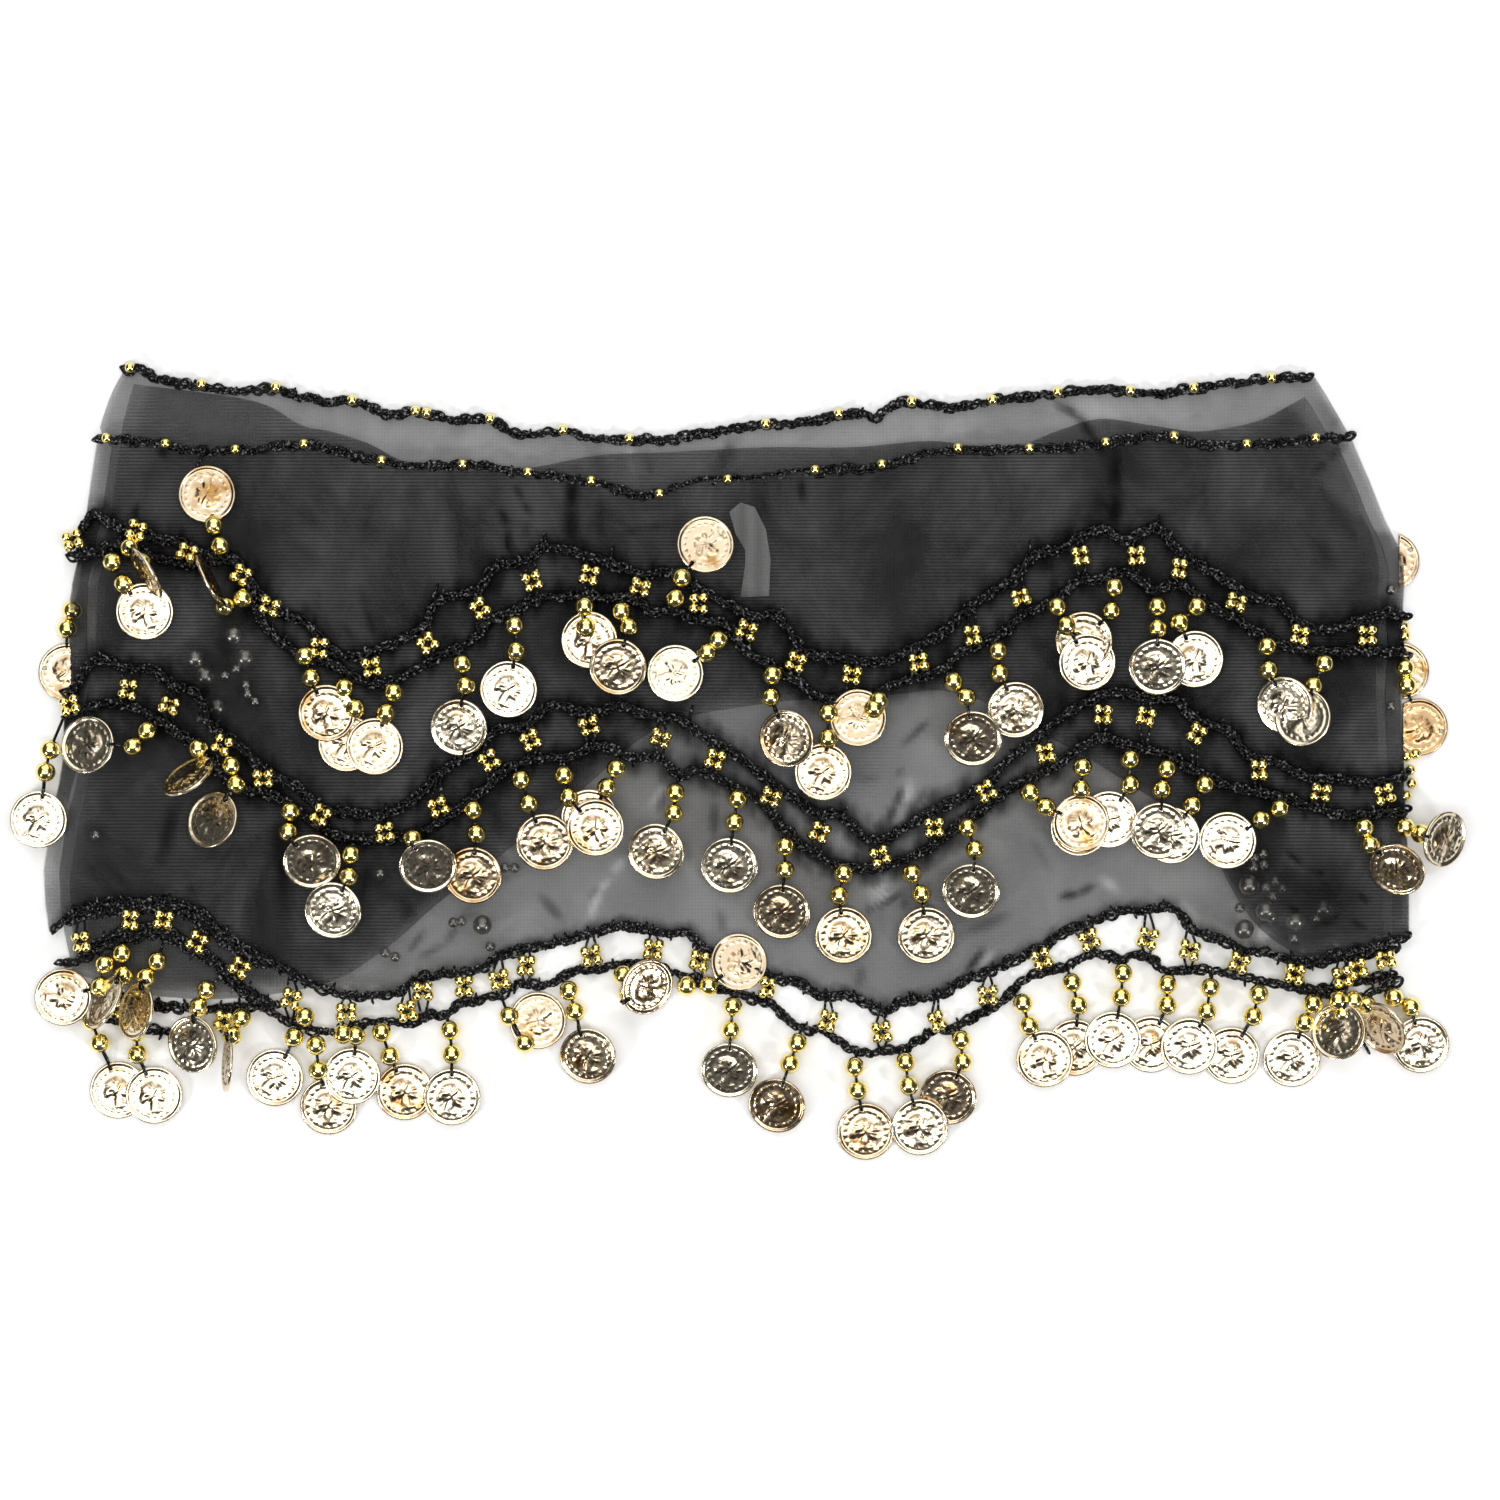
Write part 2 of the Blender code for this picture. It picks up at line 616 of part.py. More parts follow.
def build_side_coin(name, x, y, clear_x, finish):
    """The part of a coin that shows beyond a side fold."""
    half = COIN_DIAMETER / 2
    outward = 1.0 if clear_x > 0 else -1.0
    cut = math.acos(max(min((clear_x - x) * outward / half, 1.0), -1.0))
    count = 11
    ring = []
    for turn in spread(-cut, cut, count):
        ring.append((x + outward * half * math.cos(turn), y + outward * half * math.sin(turn)))
    top = [(px, py, REST_CLEARANCE + COIN_THICKNESS) for px, py in ring]
    bottom = [(px, py, REST_CLEARANCE) for px, py in ring]
    points, faces = close_sheet(top, bottom, [tuple(range(count))])
    add_object(name, points, faces, finish)


def build_label(finish):
    """The care label, a blank flat strip on the back stretch."""
    base = 2 * LAYER_STEP
    outline = list(reversed(LABEL_OUTLINE))
    top = [(x, y, base + CLOTH_WALL) for x, y in outline]
    bottom = [(x, y, base) for x, y in outline]
    points, faces = close_sheet(top, bottom, [tuple(range(len(outline)))])
    add_object("care_label", points, faces, finish)


def main():
    for old in list(bpy.data.objects):
        bpy.data.objects.remove(old)
    chiffon = material("black_chiffon", BLACK_CHIFFON, 0.7, 0.0)
    thread = material("black_thread", BLACK_THREAD, 0.8, 0.0)
    gold = material("gold_trim", GOLD, 0.3, 1.0)
    label = material("label_satin", LABEL_WHITE, 0.6, 0.0)

    build_inner_stretch(chiffon)
    build_back_stretch(chiffon)
    build_front_stretch(chiffon)
    build_label(label)
    build_edge_cord("back_top_cord", HEIGHT_OF["back_top"], -195, 178, REST_CLEARANCE, thread)
    build_edge_cord("front_top_cord", HEIGHT_OF["front_top"], -202, 191, FRONT_REST, thread)

    rows = (
        ("row_1", -206, 209, on_front),
        ("row_2", -216, 208, on_front),
        ("row_3", -216, 207, below_front),
    )
    placed = []
    for name, first_x, last_x, rest in rows:
        upper, lower = HEIGHT_OF[name + "_upper"], HEIGHT_OF[name + "_lower"]
        build_row(name, upper, lower, first_x, last_x, rest, placed, gold)

    for name, first_x, last_x in (("back_trim_left", -212, -148), ("back_trim_right", 172, 206)):
        hem = HEIGHT_OF["back_hem"]
        build_row(name, lambda x: hem(x) - EDGE_CLEARANCE - 0.8, lambda x: hem(x) - 11.0,
                  first_x, last_x, on_surface, [], gold)
    for name, x, y, clear_x in SIDE_COINS:
        build_side_coin(name, x, y, clear_x, gold)


main()
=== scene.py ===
"""Belly dance hip scarf: its sheer cloth, crocheted trim, gold beads and stamped coins.

Three stretches of black chiffon lie one on another.  Crocheted cords edge the two top ones, and
three wavy rows of trim cross the front stretch: two chains linked by flowers of four small beads,
with danglers of two round beads and a coin.  Sizes are in millimetres unless a property says so.
"""

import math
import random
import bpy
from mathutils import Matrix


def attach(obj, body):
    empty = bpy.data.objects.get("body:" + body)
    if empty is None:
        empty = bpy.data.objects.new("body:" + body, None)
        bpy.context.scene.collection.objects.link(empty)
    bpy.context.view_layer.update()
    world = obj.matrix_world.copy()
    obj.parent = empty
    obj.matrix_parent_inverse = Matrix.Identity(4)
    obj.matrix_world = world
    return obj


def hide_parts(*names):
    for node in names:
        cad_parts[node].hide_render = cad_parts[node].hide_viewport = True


bl_info = {
    "name": "Coin hip scarf",
    "version": (1, 0, 0),
    "blender": (4, 5, 0),
    "location": "View3D > Sidebar > Hip scarf",
    "description": "Dresses a belly dance hip scarf of chiffon, crochet, beads and coins",
    "category": "Object",
}

import bpy
import numpy as np
from mathutils import Matrix, Vector

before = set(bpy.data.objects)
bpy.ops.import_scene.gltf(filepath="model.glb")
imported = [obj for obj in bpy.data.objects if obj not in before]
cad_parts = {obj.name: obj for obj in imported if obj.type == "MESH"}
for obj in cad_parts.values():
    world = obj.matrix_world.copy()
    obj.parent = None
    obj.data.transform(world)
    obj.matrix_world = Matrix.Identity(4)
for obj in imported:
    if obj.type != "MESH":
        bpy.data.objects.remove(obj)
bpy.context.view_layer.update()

MM = 0.001
RIGHT, AHEAD, UP = Vector((1.0, 0.0, 0.0)), Vector((0.0, 1.0, 0.0)), Vector((0.0, 0.0, 1.0))

# ---- courses of the edges and chains: X and Y of points along each, left to right --------------
COURSES = {
    "back_top": (
        (-195, 88.5), (-190, 88.5), (-182, 84.5), (-171, 83.5), (-160, 81.5), (-147, 82.5),
        (-136, 79), (-124, 78.5), (-117.5, 77), (-112.5, 74.5), (-103, 75), (-90.5, 72.5),
        (-79.5, 72.5), (-70, 68), (-56.5, 69), (-45, 66.5), (-25.5, 66.5), (-13.5, 68), (3, 70.5),
        (19.5, 72), (35.5, 75), (42.5, 73.5), (50, 78), (66.5, 76.5), (84.5, 79.5), (99.5, 81),
        (113, 82), (132, 81), (149.5, 83.5), (167, 85.5), (179.5, 86),
    ),
    "inner_top": (
        (-192, 85.5), (-154, 80), (-139.5, 72.5), (-130, 70.5), (-117.5, 66.5), (-108, 61.5),
        (-95.5, 58.5), (-76.5, 58), (-64, 59.5), (-45, 63), (-22.5, 64), (7.5, 65.5), (34, 65.5),
        (61, 67.5), (81.5, 64.5), (100.5, 71), (113, 74.5), (129, 72.5), (144.5, 70.5),
        (162, 73.5), (171.5, 78), (179.5, 82.5),
    ),
    "front_top": (
        (-203.5, 66.5), (-187, 65.5), (-171, 63), (-154, 63), (-138, 64.5), (-124, 61.5),
        (-105, 58), (-82.5, 58), (-67, 55.5), (-48, 53), (-29, 48.5), (-12.5, 53), (2.5, 53.5),
        (18.5, 56), (37.5, 57), (50, 59.5), (64, 63), (81.5, 63), (100.5, 63.5), (118, 65.5),
        (132, 67.5), (144.5, 65), (159, 64.5), (171.5, 65.5), (192, 67.5),
    ),
    "row_1_upper": (
        (-211.5, 31), (-209.5, 34.5), (-207, 39.5), (-204, 42.8), (-199, 40), (-194, 37.5),
        (-187, 35.5), (-177.5, 34), (-169.5, 30.5),
        (-161.5, 29.5), (-156.5, 23.5), (-150.5, 16), (-144.5, 11), (-139.5, 10), (-133.5, 4),
        (-125.5, -2), (-114.5, 0), (-108, 3), (-100, 7.5), (-96.5, 15), (-82.5, 19), (-78.5, 25.5),
        (-67, 28.5), (-62, 32.5), (-45, 28.5), (-32, 23.5), (-23.5, 24.5), (-13.5, 19), (-4, 14),
        (4, 10.5), (11.5, 10.5), (16.5, 3), (21.5, -1.5), (31, -2.5), (42, -4), (50, -1.5),
        (58, 2.5), (64, 5.5), (69, 11.5), (76.5, 16.5), (84.5, 21.5), (92, 29.5), (100.5, 32),
        (112.5, 38), (121, 34.5), (130.5, 38.5), (136.5, 32.5), (144.5, 26.5), (154, 20.5),
        (162, 16.5), (168.5, 15), (176, 8), (185.5, 6.5), (195, 9), (203, 11.5), (210, 10),
    ),
    "row_1_lower": (
        (-212, 29.5), (-206, 29.5), (-197.5, 33), (-182, 28.5), (-174.5, 26.5), (-160, 28.5),
        (-155.5, 19), (-150.5, 8), (-139.5, -1.5), (-128.5, -4.5), (-124, -7.5), (-116, -11),
        (-108, -8.5), (-100, -4.5), (-92, -0.5), (-86, 2), (-79.5, 9), (-71.5, 12.5), (-62, 16.5),
        (-45, 16.5), (-34.5, 16.5), (-29, 12), (-22, 12.5), (-15, 9.5), (-5.5, 8), (1, 0),
        (7.5, -4.5), (16.5, -9.5), (24.5, -15), (40.5, -14), (50, -10), (62.5, -6.5), (70.5, 0),
        (81.5, 4.5), (88, 11), (97.5, 15), (105, 21), (111.5, 22), (121, 24.5), (129, 19),
        (138.5, 20.5), (147, 14), (155.5, 9.5), (162.5, 5.5), (171.5, 1), (182.5, -0.5),
        (196.5, -0.5), (210, -1.5),
    ),
    "row_2_upper": (
        (-213.5, -13.5), (-210.5, -12.5), (-203.5, -3), (-195, -5.5), (-184.5, -6.5),
        (-180.5, -10.5), (-171, -14), (-166.5, -23.5), (-158.5, -30), (-151.5, -37),
        (-139.5, -43.5), (-133.5, -49), (-127, -51), (-114.5, -52), (-103.5, -47.5), (-97, -41),
        (-92, -36.5), (-84.5, -31.5), (-77.5, -25.5), (-67, -23.5), (-60.5, -17.5), (-52.5, -19),
        (-45, -19.5), (-38.5, -17.5), (-30.5, -20.5), (-19.5, -22.5), (-13.5, -26), (-2, -33),
        (10.5, -42.5), (23, -51), (32, -52.5), (40.5, -60), (50, -57), (58, -51.5), (67.5, -47.5),
        (76.5, -42.5), (84.5, -34.5), (91, -29), (99, -22.5), (106.5, -17.5), (116, -13.5),
        (129, -15), (136.5, -16), (143, -22), (154, -26), (159, -33), (168.5, -35.5), (176, -39.5),
        (187.5, -41), (201.5, -41.5), (210, -38.5),
    ),
    "row_2_lower": (
        (-213.5, -21), (-210.5, -19.5), (-201, -17.5), (-196.5, -16.5), (-187, -20), (-182, -23.5),
        (-175, -28), (-166.5, -36.5), (-158.5, -43.5), (-146, -46.5), (-136.5, -53.5),
        (-127, -58.5), (-119, -60), (-105, -58.5), (-95.5, -54.5), (-86, -47.5), (-79.5, -42.5),
        (-71.5, -36.5), (-62, -34), (-54.5, -34), (-45, -30), (-35.5, -34), (-27, -33.5),
        (-20, -39.5), (-13.5, -38), (-4, -42.5), (4, -46), (12, -54.5), (18.5, -61.5), (28, -67),
        (40.5, -69), (50, -66.5), (61, -61.5), (69, -54.5), (78.5, -48.5), (86, -42.5),
        (95.5, -38), (105, -32), (113, -27.5), (121, -30), (133.5, -33), (144.5, -39),
        (155.5, -43.5), (170, -46), (179.5, -49.5), (192, -52.5), (204.5, -51), (210, -50.5),
    ),
    "row_3_upper": (
        (-217, -89), (-214, -85), (-209, -82), (-200, -80), (-186, -79), (-174, -81), (-166, -87),
        (-158, -93), (-148, -99), (-138.5, -104), (-128.5, -108), (-118.5, -109.5), (-108.5, -108),
        (-100.5, -103.5), (-83.5, -101), (-76.5, -97), (-66.5, -94), (-56, -92), (-46, -89),
        (-37.5, -87), (-24, -89.5), (-17.5, -89), (-12, -94), (-0.5, -99.5), (10, -103.5),
        (18.5, -105.5), (24.5, -109), (34.5, -109.5), (45.5, -114.5), (50.5, -111), (61.5, -109.5),
        (69.5, -105), (81.5, -100), (94.5, -94), (101.5, -89.5), (109.5, -86.5), (119.5, -82.5),
        (126.5, -82.5), (136, -82), (142, -88.5), (150, -91), (158, -94.5), (167, -96), (177, -98),
        (187.5, -96), (197.5, -94), (210.5, -90),
    ),
    "row_3_lower": (
        (-216, -99), (-210.5, -98.5), (-199.5, -93), (-187, -90), (-176, -93), (-166.5, -99.5),
        (-158, -107.5), (-145.5, -115.5), (-137.5, -119), (-132.5, -120.5), (-123.5, -119),
        (-113.5, -117), (-104.5, -118), (-99.5, -115.5), (-93.5, -115.5), (-89.5, -112),
        (-83.5, -110.5), (-76.5, -109), (-70.5, -105.5), (-62, -106), (-54.5, -102), (-46, -101),
        (-36, -99), (-26, -100.5), (-16.5, -103.5), (-8, -107), (2, -109.5), (9, -112),
        (17.5, -119), (26, -120.5), (35.5, -126.5), (51.5, -125.5), (59.5, -120.5), (67.5, -119),
        (74.5, -115.5), (81.5, -111), (90.5, -103.5), (102.5, -100), (112, -96), (119.5, -98),
        (124.5, -96), (130, -98), (134, -101.5), (144, -101), (152, -102), (162, -104),
        (172, -106), (182, -108), (192.5, -110), (202.5, -106), (207, -104.5),
    ),
    "back_hem": (
        (-222, -100), (-208, -103), (-192, -108), (-176, -110), (-160, -110), (-144, -108),
        (-128, -104), (-112, -94), (-96, -80), (-80, -68), (-64, -55), (-48, -42), (-32, -28),
        (-16, -21), (0, -18), (16, -16), (32, -15), (48, -14), (64, -13), (80, -18), (96, -27),
        (112, -36), (128, -46), (144, -57), (160, -84), (176, -96), (192, -94), (208, -91),
        (214, -90),
    ),
}

# The rounded side folds: Y, and X of the left and of the right one.
SIDES = (
    (92, -193, 176), (88.5, -195, 179.5), (81, -199, 184), (74, -201.5, 188), (67, -203.5, 192),
    (53.5, -205.5, 198), (46, -206.5, 201), (41, -207, 203), (33, -209, 207), (25.5, -210, 209),
    (19, -211.5, 209), (10, -212, 208.5), (0, -212, 209), (-12.5, -211.5, 208), (-25, -214, 208.5),
    (-38, -214.5, 209), (-44, -215.5, 209), (-50.5, -217.5, 209.5), (-60, -219, 210),
    (-70, -220.5, 210.5), (-80.5, -220, 210.5), (-88.5, -219, 210.5), (-100, -216.5, 211),
)

# Flowers of four small beads: X and Y of the middle of each.
FLOWERS = {
    "row_1": (
        (-210.5, 34.5), (-190.5, 37.5), (-174.5, 30.5), (-157.5, 23.5), (-148.5, 13.5),
        (-133, 0.5), (-116.5, -5.5), (-99, 2), (-82.5, 13), (-66, 21.5), (-48, 23.5),
        (-32, 19.5), (-13.5, 14.5), (1.5, 6), (17, -4), (34.5, -8), (55.5, -4), (72.5, 4.5),
        (87.5, 16.5), (106.5, 29.5), (124, 29.5), (137.5, 25.5), (155.5, 15), (175.5, 4.5),
        (196.5, 4.5),
    ),
    "row_2": (
        (-211.5, -17.5), (-193, -12.5), (-180, -17.5), (-163.5, -30), (-150.5, -40.5),
        (-132.5, -52), (-112.5, -57.5), (-95.5, -49.5), (-79.5, -35), (-66.5, -28.5),
        (-48, -24), (-25.5, -28), (-8.5, -34.5), (9, -46.5), (24.5, -57.5), (43.5, -65),
        (60.5, -56), (77, -44.5), (95.5, -32.5), (113.5, -20.5), (127, -21), (143, -26.5),
        (162.5, -38), (182, -45), (202, -45.5),
    ),
    "row_3": (
        (-208, -92), (-192.5, -85), (-182, -85), (-171.5, -92), (-158, -100), (-142, -110),
        (-124.5, -114), (-105.5, -114), (-100.5, -107.5), (-87.5, -106), (-76.5, -104),
        (-68, -99.5), (-47.5, -96.5), (-28, -94.5), (-13.5, -98), (8, -106.5), (27, -117),
        (44, -120.5), (61.5, -117), (77.5, -109), (94.5, -97.5), (109.5, -91.5), (128, -91),
        (141, -94.5), (156.5, -98.5), (174, -102), (189, -103), (202.5, -97.5),
    ),
}

# Danglers: bead_1_x, bead_1_y, bead_2_x, bead_2_y, coin_x, coin_y, lean, pitch.  The lean turns a
# coin about the line of its thread, and the pitch raises its end with the hole, both in degrees.
DANGLERS = {
    "row_1": (
        (-198, 27.5, -194.5, 20.5, -188, 12, 0, 7), (-164, 32.5, -166, 39, -168.5, 49, 0, 2),
        (-192.5, 32, -188.5, 27.5, -186.3, 24, 72, 0), (-157, 16, -162.5, 13.5, -166.5, 21.3, 87, 0),
        (-125, -12, -121.5, -18.5, -124.5, -29.5, 0, 3), (-137.5, -2, -135.5, -9, -130.5, -20, 5, 6),
        (-109.5, -13.5, -112, -20, -115.5, -30.5, 0, 2), (-88, -4.5, -87, -11.5, -89, -24.5, 5, 12),
        (-71.5, 7.5, -71, -0.5, -73.5, -12.5, 0, 5), (-49.5, 13.5, -49, 7, -48, 3, 8, 5),
        (-38, 12, -35.5, 7, -39, -5.5, 0, 13), (-21, 16, -19, 22.5, -11.5, 33, 0, 9),
        (-7.5, 3, -11, -1, -21, -7.5, 4, 3), (9.5, -8, 9, -15, 14, -28, 22, 0),
        (43, -16, 41.5, -18.5, 36.5, -21.5, 3, 0), (27, -20, 27, -28, 25.5, -38.5, 0, 5),
        (80.5, -0.5, 81, -7.5, 86, -19, 0, 12), (66.5, -10, 70.5, -15, 72.5, -28, 5, 17),
        (117, 19.5, 116, 12, 107.5, 3, 0, 15), (99, 13.5, 102, 7.5, 108.5, -4, 0, 8),
        (143, 13.5, 137.5, 8.5, 142.5, -3, 0, 7), (130.5, 13.5, 130.5, 6.5, 130.5, -5.5, 8, 15),
        (165, 1, 165.5, -6.5, 170.5, -17.5, 25, 0), (183, -4.5, 179.5, -11.5, 176, -21.5, 25, 0),
    ),
    "row_2": (
        (-187, -25.5, -191.5, -30.5, -205.5, -30, 8, 17),
        (-217.5, -31.5, -219, -38.5, -221.5, -53.5, 0, 2),
        (-171, -31, -169.5, -37.5, -173.5, -40, 60, 0),
        (-160.5, -36.5, -159, -42.5, -166, -53.5, 30, 0),
        (-142, -51, -142.5, -57.5, -135, -66.5, 8, 19),
        (-123, -64.5, -123.5, -71.5, -128.5, -82, 0, 12), (-84.5, -50.5, -83.5, -58, -84.5, -71, 0, 10),
        (-103.5, -59.5, -101.5, -63, -98.5, -68, 8, 20), (-39.5, -37.5, -42.5, -43.5, -48, -53, 0, 3),
        (-69.5, -41, -67, -48.5, -62, -60.5, 0, 10), (-56, -39.5, -54.5, -46.5, -46, -56, 0, 7),
        (-21, -45, -21.5, -51.5, -27, -63.5, 4, 14), (-1.5, -47, -2.5, -54.5, -4, -68, 5, 14),
        (13.5, -62, 13.5, -69.5, 12.5, -82.5, 5, 16), (32, -70.5, 30.5, -77.5, 32, -90, 0, 6),
        (53.5, -70.5, 56.5, -77, 58, -90, 0, 8), (71, -56, 73.5, -63, 72, -76, 5, 18),
        (122, -34.5, 122, -42.5, 115.5, -53.5, 0, 5), (107, -37, 106.5, -44, 106, -56, 0, 2),
        (90.5, -45, 95.5, -49.5, 106.5, -54.5, 0, 2), (133.5, -37.5, 132, -44, 131, -57, 0, 11),
        (145.5, -42.5, 141.5, -49, 135, -58.5, 5, 12), (169, -50, 163, -53.5, 152.5, -60, 0, 9),
        (195.5, -56, 197.5, -61.5, 205.5, -69, 38, 0), (208.5, -56, 213.5, -58, 220, -59.5, 5, 38),
    ),
    "row_3": (
        (-200.5, -99, -202, -106, -214, -109.5, 0, 1),
        (-195, -95.5, -194.5, -102.5, -199.5, -110.5, 60, 0),
        (-184, -98, -187.5, -103, -190, -113.5, 48, 0),
        (-168.5, -107, -171, -112.5, -172.5, -124, 25, 8),
        (-157.5, -116, -160.5, -121.5, -161, -129.5, 75, 0),
        (-137.5, -115.5, -141, -122, -147.5, -135, 0, 2),
        (-134, -124.5, -133.5, -132.5, -130.5, -144, 0, 5),
        (-125.5, -121, -121.5, -121.5, -123, -134.5, 0, 3),
        (-113.5, -120.5, -111, -128, -106.5, -139.5, 0, 4),
        (-92, -120, -91.5, -127.5, -91.5, -141, 0, 5), (-73.5, -115.5, -68.5, -124, -64.5, -117, 0, 4),
        (-54.5, -107.5, -52.5, -114, -48.5, -128, 12, 8), (-37.5, -102.5, -36, -108.5, -30, -106, 26, 20),
        (-17.5, -106, -10.5, -106, -1, -98.5, 0, 12), (-3, -112.5, -3.5, -120, -4, -132.5, 4, 15),
        (17.5, -124, 15, -130.5, 11, -143.5, 6, 18), (69, -123, 69.5, -130, 65, -141, 4, 15),
        (35.5, -131.5, 36.5, -139, 39, -152, 0, 5), (51.5, -130, 52.5, -137.5, 56, -150.5, 0, 6),
        (104, -105, 106, -112, 105, -125.5, 0, 5), (88.5, -111.5, 90.5, -118.5, 95.5, -129, 0, 3),
        (120, -102, 119.5, -109.5, 117, -123, 0, 3), (134, -105.5, 134, -112, 129, -124.5, 0, 4),
        (147.5, -106.5, 146.5, -114, 141, -125, 0, 5), (162.5, -108.5, 161, -115.5, 154.5, -128, 0, 4),
        (179.5, -111.5, 177, -117.5, 173.5, -129, 0, 5),
        (187.5, -110.5, 189, -114.5, 187.5, -120, 30, 0),
        (192.5, -110.5, 196.5, -112, 201, -119, 50, 0), (205, -109.5, 210.5, -112.5, 214, -124.5, 0, 6),
    ),
    "back_trim_left": (
        (-205, -117, -202.5, -124, -197, -139, 0, 0),
        (-191, -120.5, -190.5, -127.5, -185.5, -140.5, 0, 0),
    ),
}

# Small beads worked into the two top cords, by their X.
CORD_BEADS = {
    "back_top": (-193, -170.5, -147, -123, -103, -99.5, -79.5, -56.5, -35.5, 7.5, 30.5, 53.5, 79,
                 99.5, 122.5, 142.5, 167),
    "front_top": (-200, -181.5, -159.5, -138, -113.5, -88, -67.5, -47.5, -26, -4.5, 23, 44, 68,
                  90.5, 114.5, 136, 159, 180.5),
}

# Short ends and picots that stand off the chains: X and Y of the middle, and the way each points,
# in degrees from +X.
PICOT_LENGTH = 5.0
PICOTS = (
    (-170.5, 60, 240), (-96.5, 18.5, 70), (-62, 34.5, 95), (-41, 30.5, 75), (11.5, 11.5, 50),
    (32, -51.5, 55), (-16, -20, 80), (90.5, 32, 85), (130.5, 40, 70), (-100.5, -106, 110),
    (197, -125.5, 300),
)

# Round beads of the hidden stretches that lift the cloth above them: X, Y and diameter.
HIDDEN_BEADS = (
    (-160, 4.5, 6.4), (-172, -2.8, 6.4), (-156.3, -2.6, 6.4), (-169, -8.4, 6.4), (-165.4, -18, 6.4),
    (-156.3, -10.9, 3.3), (-155.8, -13.8, 3.3), (-153.4, -16.3, 3.3), (-170.8, -21.7, 3.3),
    (-162.9, -8.1, 3.3), (-159.4, -6, 3.3), (-203.6, -58.4, 3.3), (-114, -70.5, 3.3),
    (-74.7, -68.7, 3.3), (-71.7, -68.8, 3.3), (-81.7, -86.6, 6.4), (-91, -86, 3.3), (-88.4, -85.6, 3.3),
    (-79.4, -93.4, 3.3), (-112.4, -95.5, 3.3), (-109.3, -96.8, 3.3),
    (164.2, -64.2, 3.3), (161.3, -65.5, 3.3), (161.2, -68.6, 3.3), (164.5, -67.8, 3.3),
    (168, -72.8, 3.3), (165, -74.8, 3.3), (170.3, -75.2, 3.3), (167.3, -77.7, 3.3),
    (159.6, -74.2, 6.4), (156.8, -81.4, 3.3), (158, -88, 6.4), (164.8, -82.2, 6.4), (166.7, -84.3, 3.3),
    (182.9, -81.4, 6.4), (181, -84.6, 3.3), (174.2, -85.2, 6.4), (174, -91, 3.3), (204.5, 18.9, 3.3),
    (204.5, -17.8, 3.3),
)
# Beads of the hidden stretches that look out at the side folds: X, Y and diameter.
FOLD_BEADS = (
    (-211.2, 12.4, 6.4), (-212.8, 6.6, 6.4), (208.9, -5.8, 6.4), (209.5, -11.2, 6.4),
    (208.8, 7.5, 3.3), (209.2, 4.4, 3.3), (212.6, -32.9, 3.3), (209.9, -33.6, 3.3), (211, -38, 3.3),
    (211.4, -42.2, 3.3), (209.7, -46.1, 3.3),
)
# Threads from the last of them to their coins.
FOLD_LINKS = (((-212.8, 6.6), (-213.3, 0.6)), ((209.5, -11.2), (211.3, -16.6)))

